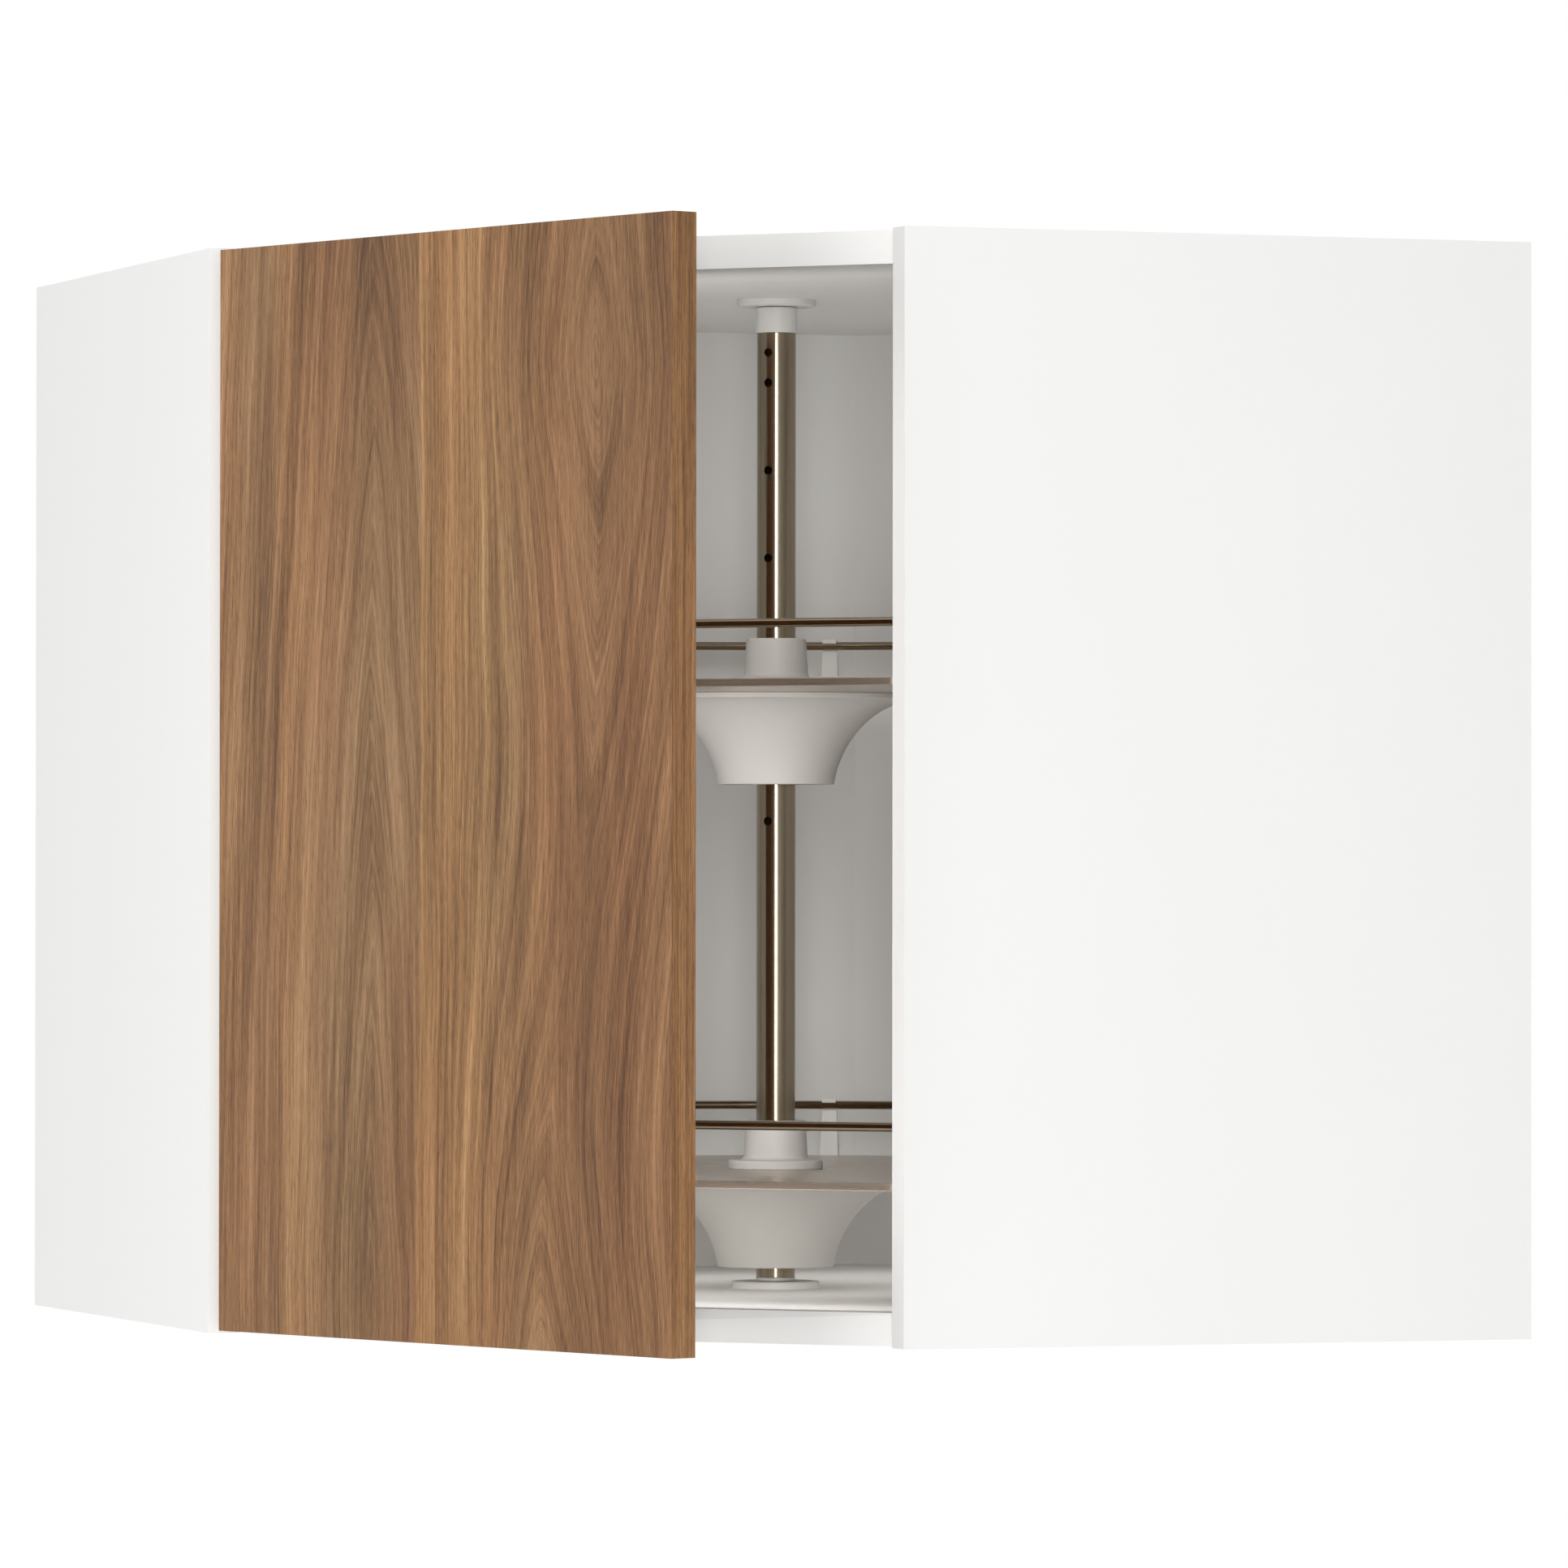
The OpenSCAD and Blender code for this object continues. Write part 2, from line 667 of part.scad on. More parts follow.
module flange_screw() {
    translate([0, 0, flange_t - 0.2]) difference() {
        countersunk(3.4, 1.45, flange_screw_l);
        cross_recess(1.6, 1);
    }
}

module flange_screws() {
    color("silver") {
        translate([0, 0, panel_t]) flange_screw_places(bottom_flange_r) flange_screw();
        translate([0, 0, interior_top]) mirror([0, 0, 1])
            flange_screw_places(top_flange_r) flange_screw();
    }
}

hole_zs = concat(
    [lower_shelf_z - pin_drop],
    [for (i = [0 : 5]) if (first_hole_z + i * hole_pitch < pole_top_z - 8)
        first_hole_z + i * hole_pitch]);
top_hole_z = max(hole_zs) + last_hole;

// Holes across the pole, facing the flat side of the shelves
module pole_cross(z, r) {
    translate([0, 0, z]) diagonal_frame() rotate([90, 0, 0])
        translate([0, 0, -sleeve_r - cut]) cylinder(r = r, h = 2 * (sleeve_r + cut), $fn = 32);
}

module pole() {
    color("darkkhaki") difference() {
        translate([0, 0, pole_foot_z]) cylinder(r = pole_r, h = pole_top_z - pole_foot_z);
        translate([0, 0, pole_foot_z - cut])
            cylinder(r = pole_r - pole_wall, h = pole_top_z - pole_foot_z + 2 * cut);
        for (z = hole_zs) pole_cross(z, hole_d / 2);
        if (top_hole_z + hole_d / 2 < pole_top_z - cap_insert_h)
            pole_cross(top_hole_z, hole_d / 2);
    }
}

// Cap over the pole's top, with the upper pivot stud
module pole_top_cap() {
    color("ghostwhite") translate([0, 0, pole_top_z]) rotate_extrude() polygon([
        [0, -cap_insert_h], [pole_r - pole_wall - fit, -cap_insert_h],
        [pole_r - pole_wall - fit, 0.05], [cap_r, 0.05], [cap_r, top_cap_h - 0.5],
        [cap_r - 0.5, top_cap_h], [stud_r, top_cap_h],
        [stud_r, top_cap_h + axial_gap + flange_t - bearing_floor - axial_gap],
        [0, top_cap_h + axial_gap + flange_t - bearing_floor - axial_gap]
    ]);
}

// Plug in the pole's foot, with the lower pivot stud
module pole_foot_plug() {
    color("ghostwhite") translate([0, 0, pole_foot_z]) rotate_extrude() polygon([
        [0, -plug_rim_h - axial_gap - flange_t + bearing_floor + thrust_gap],
        [stud_r, -plug_rim_h - axial_gap - flange_t + bearing_floor + thrust_gap],
        [stud_r, -plug_rim_h], [pole_r, -plug_rim_h], [pole_r, -0.05],
        [pole_r - pole_wall - fit, -0.05], [pole_r - pole_wall - fit, insert_h], [0, insert_h]
    ]);
}

// ---------- shelves ----------

// D-shaped plan in the diagonal frame: round at the back, flat at the front, with its two
// corners rounded; the corner arcs stand a hair proud, so that they end in clean edges
module shelf_plan(r, flat, corner) {
    proud = 0.15;
    reach = r - corner + proud;
    w = flat - corner + proud;
    u = sqrt(pow(reach, 2) - pow(w, 2));
    far = 3 * corner;
    difference() {
        intersection() {
            circle(r = r, $fn = 180);
            translate([-2 * r, -flat]) square([4 * r, 4 * r]);
        }
        for (s = [-1, 1]) translate([s * u, -w]) difference() {
            polygon([[0, 0], [0, -far], [s * far, -far],
                     [s * far * u / reach, -far * w / reach]]);
            circle(r = corner, $fn = 64);
        }
    }
}

module shelf(z) {
    color("rosybrown") translate([0, 0, z - shelf_t]) diagonal_frame() difference() {
        linear_extrude(shelf_t) shelf_plan(shelf_r, shelf_flat, shelf_corner);
        translate([0, 0, -cut]) cylinder(r = sleeve_r + fit, h = shelf_t + 2 * cut);
    }
}

module upper_shelf() { shelf(upper_shelf_z); }

module lower_shelf() { shelf(lower_shelf_z); }

// Outer radius of the trumpet hub at height z above its foot
flare_h = cone_h - cone_flange_t;
draft = 0.13;
flare_top_r = cone_foot_r + draft * flare_h + cone_flare;
function trumpet_r(z) = cone_foot_r + draft * z + cone_flare * (1 - sqrt(1 - pow(z / flare_h, 2)));
flare_steps = 20;
flare_zs = [for (i = [0 : flare_steps]) flare_h * sin(90 * i / flare_steps)];

// Trumpet shell, open at its foot, with six ribs that carry the tube for the pole.
// The tube passes up through the shelf; a notch at its lower end sits on the locking pin.
module trumpet_hub(z) {
    rim = min(flare_top_r, cone_flange_r);
    outer = [for (h = flare_zs) if (h > 1.2) [min(trumpet_r(h), rim), h]];
    inner = [for (h = flare_zs) if (h > cone_wall && h < flare_h - cone_wall)
        [trumpet_r(h) - cone_wall - h * 0.03, h]];
    color("gainsboro") translate([0, 0, z - shelf_t - cone_h]) {
        difference() {
            union() {
                rotate_extrude($fn = 128) polygon(concat(
                    [[cone_foot_r - cone_wall, 0], [cone_foot_r - 0.6, 0], [cone_foot_r, 0.6]],
                    outer,
                    [[cone_flange_r, flare_h], [cone_flange_r, cone_h - 0.05],
                     [rim - cone_wall - 6, cone_h - 0.05]],
                    [for (i = [len(inner) - 1 : -1 : 0]) inner[i]],
                    [[cone_foot_r - cone_wall, cone_wall]]));
                rotate_extrude() translate([pole_r + fit, 0])
                    square([sleeve_r - pole_r - fit, cone_h + shelf_t + collar_h - 4]);
                intersection() {
                    for (a = [0 : 60 : 300]) rotate([0, 0, a + 15])
                        translate([sleeve_r - 1, -0.9, 1]) cube([cone_flange_r, 1.8, cone_h - 1.1]);
                    rotate_extrude($fn = 128) polygon(concat(
                        [[0, 1], [cone_foot_r - 1.2, 1]],
                        [for (h = flare_zs) if (h > 2) [min(trumpet_r(h), rim) - 1.2, h]],
                        [[rim - 4, cone_h - 0.1], [0, cone_h - 0.1]]));
                }
            }
            translate([0, 0, -z + shelf_t + cone_h]) pole_cross(z - pin_drop, hole_d / 2);
            rotate([0, 0, -45]) translate([-hole_d / 2, -sleeve_r - cut, -cut])
                cube([hole_d, 2 * (sleeve_r + cut), cone_h + shelf_t - pin_drop + cut]);
            translate([0, 0, -cut]) cylinder(r = pole_r + fit, h = cone_h + shelf_t + collar_h);
        }
    }
}

module upper_trumpet_hub() { trumpet_hub(upper_shelf_z); }

module lower_trumpet_hub() { trumpet_hub(lower_shelf_z); }

// Collar that clamps the shelf from above, over the hub's tube
module collar(z) {
    side_r = collar_top_r + 1.1;
    blend = 3;
    color("ghostwhite") translate([0, 0, z]) rotate_extrude() polygon(concat(
        [[sleeve_r + fit, 0.05], [collar_flange_r, 0.05], [collar_flange_r, collar_flange_t - 1.4],
         [collar_flange_r - 0.5, collar_flange_t - 0.6], [collar_flange_r - 1.8, collar_flange_t]],
        [for (a = [0 : 15 : 90]) [side_r + blend * (1 - sin(a)), collar_flange_t + blend * (1 - cos(a))]],
        [[collar_top_r, collar_h - 0.6], [collar_top_r - 0.6, collar_h],
         [pole_r + fit, collar_h], [pole_r + fit, collar_h - 3.5], [sleeve_r + fit, collar_h - 3.5]]));
}

module upper_collar() { collar(upper_shelf_z); }

module lower_collar() { collar(lower_shelf_z); }

// Closed wire loop along the shelf's outline: back arc, two bends and the straight front,
// butt-welded where they meet
module rail_loop(r) {
    w = rail_flat - rail_corner;
    straight = 2 * corner_u;
    rotate([0, 0, -90 + corner_angle]) rotate_extrude(angle = 360 - 2 * corner_angle, $fn = 180)
        translate([rail_r, 0]) circle(r = r, $fn = 32);
    for (s = [-1, 1]) translate([s * corner_u, -w, 0])
        rotate([0, 0, s > 0 ? -90 : -90 - corner_angle])
            rotate_extrude(angle = corner_angle, $fn = 96)
                translate([rail_corner, 0]) circle(r = r, $fn = 32);
    translate([-straight / 2, -rail_flat, 0]) rotate([0, 90, 0])
        cylinder(r = r, h = straight, $fn = 32);
    for (s = [-1, 1]) {
        translate([s * straight / 2, -rail_flat, 0]) rail_weld(r);
        rotate([0, 0, s * corner_angle]) translate([0, -rail_r, 0]) rail_weld(r);
    }
}

// Dressed weld, barely proud of the wire
module rail_weld(r) {
    rotate([0, 90, 0]) cylinder(r = r + 0.03, h = 0.5, center = true, $fn = 32);
}

module rail(z) {
    color("darkgoldenrod") translate([0, 0, z + rail_h]) diagonal_frame() rail_loop(wire_d / 2);
}

module upper_rail() { rail(upper_shelf_z); }

module lower_rail() { rail(lower_shelf_z); }

// Tapered post outside the wire, with a lip that hooks over it
module rail_post() {
    r = wire_d / 2;
    lip = 1.4;
    top = rail_h + r + lip;
    outer = rail_inset - 0.6;
    difference() {
        intersection() {
            translate([rail_r, post_foot_w, 0]) rotate([90, 0, 0])
                linear_extrude(2 * post_foot_w) polygon([
                    [-1.2, 0.05], [outer, 0.05], [outer - 0.8, top - 1], [outer - 1.8, top],
                    [-r * 0.7, top], [-r, top - lip * 0.9], [-r, top - lip - 0.9], [0, rail_h],
                    [r * 0.75, rail_h - r]
                ]);
            translate([rail_r - 10, 0, 0]) rotate([90, 0, 90]) linear_extrude(20) polygon([
                [-post_foot_w / 2, 0], [post_foot_w / 2, 0],
                [post_w / 2, top + 0.01], [-post_w / 2, top + 0.01]
            ]);
        }
        translate([0, 0, rail_h]) rotate([0, 0, -10]) rotate_extrude(angle = 20, $fn = 180)
            translate([rail_r, 0]) circle(r = r + fit, $fn = 32);
    }
}

module rail_posts(z) {
    color("gainsboro") translate([0, 0, z]) for (i = [0 : post_pairs - 1], s = [-1, 1])
        rotate([0, 0, 45 + s * (post_first + i * post_step)]) rail_post();
}

module upper_rail_posts() { rail_posts(upper_shelf_z); }

module lower_rail_posts() { rail_posts(lower_shelf_z); }

// Pins that lock both hubs on the pole
module shelf_locking_pins() {
    color("silver") for (z = [lower_shelf_z, upper_shelf_z])
        translate([0, 0, z - pin_drop]) diagonal_frame() rotate([90, 0, 0])
            translate([0, 0, -sleeve_r - 1]) cylinder(r = hole_d / 2 - fit, h = 2 * sleeve_r + 2, $fn = 32);
}

left_side_panel();
right_side_panel();
top_panel();
bottom_panel();
rear_back_panel();
right_back_panel();
corner_back_panel();
wood_dowels();
cam_locks();
cam_bolts();
hanger_housings();
hanger_hooks();
door_panel();
hinge_cups();
hinge_cup_screws();
hinge_pins();
hinge_arms();
hinge_plates();
hinge_plate_screws();
arm_screws();
top_bearing_flange();
bottom_bearing_flange();
flange_screws();
pole();
pole_top_cap();
pole_foot_plug();
upper_shelf();
upper_trumpet_hub();
upper_collar();
upper_rail();
upper_rail_posts();
lower_shelf();
lower_trumpet_hub();
lower_collar();
lower_rail();
lower_rail_posts();
shelf_locking_pins();
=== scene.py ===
"""Dressed model of a diagonal corner wall cabinet with a turning carousel inside."""

import logging
import math
from dataclasses import dataclass
from enum import Enum
from typing import Callable, Iterable, Sequence

import bmesh
import bpy
from mathutils import Matrix, Vector


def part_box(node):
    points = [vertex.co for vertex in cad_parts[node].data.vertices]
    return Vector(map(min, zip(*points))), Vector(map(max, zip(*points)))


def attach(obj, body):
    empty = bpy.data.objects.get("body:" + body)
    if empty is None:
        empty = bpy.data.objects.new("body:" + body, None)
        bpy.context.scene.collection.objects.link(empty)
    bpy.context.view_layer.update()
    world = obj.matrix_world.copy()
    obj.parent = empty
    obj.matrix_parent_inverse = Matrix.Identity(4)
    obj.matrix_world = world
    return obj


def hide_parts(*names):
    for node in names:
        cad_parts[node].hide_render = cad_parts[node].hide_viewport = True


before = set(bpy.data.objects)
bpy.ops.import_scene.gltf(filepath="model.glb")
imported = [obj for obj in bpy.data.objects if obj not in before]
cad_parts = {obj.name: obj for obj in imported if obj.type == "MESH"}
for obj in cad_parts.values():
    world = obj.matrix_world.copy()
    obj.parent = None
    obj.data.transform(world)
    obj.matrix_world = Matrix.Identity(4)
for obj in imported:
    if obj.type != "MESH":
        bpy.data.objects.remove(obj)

LOG = logging.getLogger("corner_cabinet")
MM = 0.001
SMOOTH_DEG = 35.0  # faces that meet under a smaller angle are shaded as one
WELD_REACH = 1e-6
ARRIS_DEG = 50.0  # edges sharper than this are softened
ARRIS_STEPS = 2
Colour = tuple[float, float, float, float]
Point = tuple[float, float, float]
Socket = bpy.types.NodeSocket


class Level(Enum):
    """The two shelves of the carousel."""

    UPPER = "upper"
    LOWER = "lower"


# ---------- node trees ----------


class Desk:
    """Lays out the nodes of one tree with short calls."""

    def __init__(self, tree: bpy.types.NodeTree) -> None:
        """Keeps the tree that the nodes go into."""
        self.tree = tree

    def feed(self, socket: Socket, value: object) -> None:
        """Links a socket, or sets its own value.

        Args:
            socket: The input that is fed.
            value: Another socket, or a plain value.
        """
        if isinstance(value, bpy.types.NodeSocket):
            self.tree.links.new(value, socket)
        elif value is not None:
            socket.default_value = value

    def node(self, kind: str, feeds: dict | None = None, **settings: object) -> bpy.types.Node:
        """Adds a node.

        Args:
            kind: Blender's name of the node.
            feeds: Values or sockets for its inputs, by name.
            settings: Properties of the node.

        Returns:
            The new node.
        """
        made = self.tree.nodes.new(kind)
        for key, value in settings.items():
            setattr(made, key, value)
        for key, value in (feeds or {}).items():
            self.feed(made.inputs[key], value)
        return made

    def maths(self, operation: str, *values: object) -> Socket:
        """Adds a Math node and returns its output.

        Args:
            operation: Blender's name of the sum.
            values: Numbers or sockets for its inputs, in order.

        Returns:
            The result.
        """
        made = self.node("ShaderNodeMath", operation=operation)
        for socket, value in zip(made.inputs, values):
            self.feed(socket, value)
        return made.outputs[0]

    def vector(self, operation: str, *values: object) -> Socket:
        """Adds a Vector Math node and returns the output that the operation uses.

        Args:
            operation: Blender's name of the sum.
            values: Vectors or sockets for its inputs, in order.

        Returns:
            The result, a number or a vector.
        """
        made = self.node("ShaderNodeVectorMath", operation=operation)
        for socket, value in zip(made.inputs, values):
            self.feed(socket, value)
        return made.outputs[1 if operation in ("DOT_PRODUCT", "LENGTH") else 0]

    def noise(self, place: Socket, scale: float | Socket, detail: float = 2.0,
              roughness: float = 0.5) -> Socket:
        """Adds a noise texture and returns its value."""
        feeds = {"Vector": place, "Scale": scale, "Detail": detail, "Roughness": roughness}
        return self.node("ShaderNodeTexNoise", feeds).outputs[0]

    def drawn_noise(self, place: Socket, stretch: Point, detail: float = 2.0,
                    roughness: float = 0.5) -> Socket:
        """Adds a noise that is drawn out along the axes with the smaller factors."""
        return self.noise(self.vector("MULTIPLY", place, stretch), 1.0, detail, roughness)

    def swing(self, value: Socket, amount: float | Socket) -> Socket:
        """A noise's swing about its middle, times an amount."""
        return self.maths("MULTIPLY", self.maths("SUBTRACT", value, 0.5), amount)

    def weigh(self, first: Socket, second: Socket, share: float) -> Socket:
        """Adds two values, the first with its share and the second with the rest."""
        return self.maths("ADD", self.maths("MULTIPLY", first, share),
                          self.maths("MULTIPLY", second, 1.0 - share))

    def spread(self, value: Socket, low: float, high: float, to_low: float = 0.0,
               to_high: float = 1.0, smooth: bool = False) -> Socket:
        """Maps a value from one range to another, clamped.

        Args:
            value: The value that is mapped.
            low: Start of its range.
            high: End of its range.
            to_low: Start of the new range.
            to_high: End of the new range.
            smooth: Whether it eases in and out.

        Returns:
            The mapped value.
        """
        feeds = {"Value": value, "From Min": low, "From Max": high,
                 "To Min": to_low, "To Max": to_high}
        kind = "SMOOTHSTEP" if smooth else "LINEAR"
        return self.node("ShaderNodeMapRange", feeds, interpolation_type=kind).outputs[0]

    def mix(self, factor: float | Socket, first: object, second: object,
            blend: str = "MIX") -> Socket:
        """Mixes two colours and returns the result.

        Args:
            factor: Share of the second colour.
            first: A colour or its socket.
            second: A colour or its socket.
            blend: Blender's name of the way they mix.

        Returns:
            The mixed colour.
        """
        made = self.node("ShaderNodeMix", data_type="RGBA", blend_type=blend)
        for index, value in ((0, factor), (6, first), (7, second)):
            self.feed(made.inputs[index], value)
        return made.outputs[2]

    def blend(self, factor: float | Socket, first: object, second: object) -> Socket:
        """Mixes two values and returns the result.

        Args:
            factor: Share of the second value.
            first: A number or its socket.
            second: A number or its socket.

        Returns:
            The mixed value.
        """
        made = self.node("ShaderNodeMix", data_type="FLOAT")
        for index, value in ((0, factor), (2, first), (3, second)):
            self.feed(made.inputs[index], value)
        return made.outputs[0]

    def ramp(self, factor: Socket, stops: Sequence[tuple[float, Colour]],
             kind: str = "LINEAR") -> Socket:
        """Adds a colour ramp.

        Args:
            factor: The value that is looked up.
            stops: Places and colours along the ramp.
            kind: Interpolation between the stops.

        Returns:
            The ramp's colour.
        """
        made = self.node("ShaderNodeValToRGB", {"Fac": factor})
        band = made.color_ramp
        band.interpolation = kind
        while len(band.elements) < len(stops):
            band.elements.new(0.5)
        for element, (place, colour) in zip(band.elements, stops):
            element.position = place
            element.color = colour
        return made.outputs[0]

    def place(self) -> Socket:
        """The point on the object, in the object's own metres."""
        return self.node("ShaderNodeTexCoord").outputs["Object"]

    def facing(self) -> Socket:
        """The surface normal in the object's own axes."""
        return self.node("ShaderNodeTexCoord").outputs["Normal"]


def effect_group(name: str, inputs: Sequence[tuple[str, str, object]],
                 outputs: Sequence[tuple[str, str]],
                 fill: Callable[[Desk, dict[str, Socket]], dict[str, Socket]]
                 ) -> bpy.types.NodeTree:
    """Builds a shared shader effect once.

    Args:
        name: Name of the node group.
        inputs: Name, kind and default of each input.
        outputs: Name and kind of each output.
        fill: Draws the nodes and returns what feeds each output.

    Returns:
        The node group.
    """
    known = bpy.data.node_groups.get(name)
    if known:
        return known
    tree = bpy.data.node_groups.new(name, "ShaderNodeTree")
    for title, kind, default in inputs:
        socket = tree.interface.new_socket(title, in_out="INPUT", socket_type=kind)
        if default is not None:
            socket.default_value = default
    for title, kind in outputs:
        tree.interface.new_socket(title, in_out="OUTPUT", socket_type=kind)
    desk = Desk(tree)
    entry = tree.nodes.new("NodeGroupInput")
    leave = tree.nodes.new("NodeGroupOutput")
    made = fill(desk, {title: entry.outputs[title] for title, _, _ in inputs})
    for title, socket in made.items():
        tree.links.new(socket, leave.inputs[title])
    return tree


def fill_mottle(desk: Desk, given: dict[str, Socket]) -> dict[str, Socket]:
    """Soft cloudy change of tone with a fine stipple on top.

    Args:
        desk: The group's desk.
        given: The group's inputs by name.

    Returns:
        What feeds the group's outputs.
    """
    cloud = desk.noise(given["Place"], given["Size"], 3.0, 0.55)
    fine = desk.noise(given["Place"], desk.maths("MULTIPLY", given["Size"], 45.0), 1.0)
    both = desk.weigh(cloud, fine, 0.75)
    factor = desk.maths("ADD", desk.swing(both, desk.maths("MULTIPLY", given["Amount"], 4.0)), 1.0)
    return {"Color": desk.mix(1.0, given["Tint"], factor, "MULTIPLY"), "Height": fine, "Cloud": cloud}


def fill_streaks(desk: Desk, given: dict[str, Socket]) -> dict[str, Socket]:
    """Noise drawn out along one direction, as brushing and wood fibres are.

    Args:
        desk: The group's desk.
        given: The group's inputs by name.

    Returns:
        What feeds the group's outputs.
    """
    drawn = desk.vector("MULTIPLY", given["Place"], given["Stretch"])
    coarse = desk.noise(drawn, 1.0, 4.0, 0.62)
    fine = desk.drawn_noise(drawn, (3.1, 3.1, 2.2))
    return {"Value": desk.weigh(coarse, fine, 0.6), "Height": fine}


def mottle_group() -> bpy.types.NodeTree:
    """The shared mottling effect.

    Returns:
        The node group.
    """
    inputs = (("Place", "NodeSocketVector", None), ("Tint", "NodeSocketColor", (1, 1, 1, 1)),
              ("Size", "NodeSocketFloat", 20.0), ("Amount", "NodeSocketFloat", 0.02))
    outputs = (("Color", "NodeSocketColor"), ("Height", "NodeSocketFloat"), ("Cloud", "NodeSocketFloat"))
    return effect_group("soft_mottle", inputs, outputs, fill_mottle)


def streak_group() -> bpy.types.NodeTree:
    """The shared drawn-out streak effect.

    Returns:
        The node group.
    """
    inputs = (("Place", "NodeSocketVector", None), ("Stretch", "NodeSocketVector", (1, 1, 1)))
    outputs = (("Value", "NodeSocketFloat"), ("Height", "NodeSocketFloat"))
    return effect_group("drawn_streaks", inputs, outputs, fill_streaks)


def use_group(desk: Desk, tree: bpy.types.NodeTree, feeds: dict[str, object]) -> bpy.types.Node:
    """Places a shared effect in a material.

    Args:
        desk: The material's desk.
        tree: The node group.
        feeds: Values or sockets for its inputs.

    Returns:
        The group's node.
    """
    made = desk.node("ShaderNodeGroup", node_tree=tree)
    for key, value in feeds.items():
        desk.feed(made.inputs[key], value)
    return made


# ---------- finishes ----------


@dataclass(frozen=True)
class Finish:
    """A finish: its name and the constant values of its shader."""

    name: str
    tint: Colour
    roughness: float = 0.45
    metallic: float = 0.0
    specular: float = 0.5

    def material(self) -> bpy.types.Material:
        """The material, built on first use.

        Returns:
            The material.
        """
        title = f"{self.name}_look"
        known = bpy.data.materials.get(title)
        if known:
            return known
        made = bpy.data.materials.new(title)
        made.use_nodes = True
        made.node_tree.nodes.clear()
        desk = Desk(made.node_tree)
        shader = desk.node("ShaderNodeBsdfPrincipled")
        shader.inputs["Base Color"].default_value = self.tint
        shader.inputs["Roughness"].default_value = self.roughness
        shader.inputs["Metallic"].default_value = self.metallic
        shader.inputs["Specular IOR Level"].default_value = self.specular
        out = desk.node("ShaderNodeOutputMaterial")
        desk.tree.links.new(shader.outputs[0], out.inputs["Surface"])
        self.dress(desk, shader)
        return made

    def dress(self, desk: Desk, shader: bpy.types.Node) -> None:
        """Adds what changes over the surface; each kind of finish draws its own."""
        raise NotImplementedError

    def mottle(self, desk: Desk, shader: bpy.types.Node, size: float, amount: float) -> bpy.types.Node:
        """Feeds the colour from the shared mottling effect.

        Args:
            desk: The material's desk.
            shader: The material's shader.
            size: Clouds per metre.
            amount: How far the tone changes.

        Returns:
            The effect's node.
        """
        feeds = {"Place": desk.place(), "Tint": self.tint, "Size": size, "Amount": amount}
        made = use_group(desk, mottle_group(), feeds)
        desk.feed(shader.inputs["Base Color"], made.outputs["Color"])
        return made

    def uneven_gloss(self, desk: Desk, shader: bpy.types.Node, value: Socket, low: float, high: float,
                     swing: float) -> None:
        """Lets the roughness follow a value between two levels, by a swing either way."""
        rough = desk.spread(value, low, high, self.roughness - swing, self.roughness + swing)
        desk.feed(shader.inputs["Roughness"], rough)

    def bump(self, desk: Desk, shader: bpy.types.Node, height: Socket, depth: float,
             strength: float) -> None:
        """Lets a height stand out of the surface.

        Args:
            desk: The material's desk.
            shader: The material's shader.
            height: The height.
            depth: Metres from its lowest to its highest.
            strength: Share of the relief that shows.
        """
        feeds = {"Height": height, "Distance": depth, "Strength": strength}
        made = desk.node("ShaderNodeBump", feeds)
        desk.feed(shader.inputs["Normal"], made.outputs[0])


@dataclass(frozen=True)
class FacedBoard(Finish):
    """Melamine or lacquered board: faint clouds and a fine orange peel."""

    size: float = 6.0
    amount: float = 0.006
    peel: float = 0.00004
    gloss_swing: float = 0.04

    def dress(self, desk: Desk, shader: bpy.types.Node) -> None:
        """Adds the clouds, the peel and slightly uneven gloss.

        Args:
            desk: The material's desk.
            shader: The material's shader.
        """
        spots = self.mottle(desk, shader, self.size, self.amount)
        self.uneven_gloss(desk, shader, spots.outputs["Cloud"], 0.2, 0.8, self.gloss_swing)
        self.bump(desk, shader, spots.outputs["Height"], self.peel, 0.35)


@dataclass(frozen=True)
class Moulded(Finish):
    """Injection-moulded plastic: even colour, spark-eroded texture."""

    size: float = 30.0
    amount: float = 0.02
    texture: float = 0.00005
    gloss_swing: float = 0.05

    def dress(self, desk: Desk, shader: bpy.types.Node) -> None:
        """Adds the moulding texture.

        Args:
            desk: The material's desk.
            shader: The material's shader.
        """
        spots = self.mottle(desk, shader, self.size, self.amount)
        self.uneven_gloss(desk, shader, spots.outputs["Height"], 0.3, 0.7, self.gloss_swing)
        self.bump(desk, shader, spots.outputs["Height"], self.texture, 0.4)


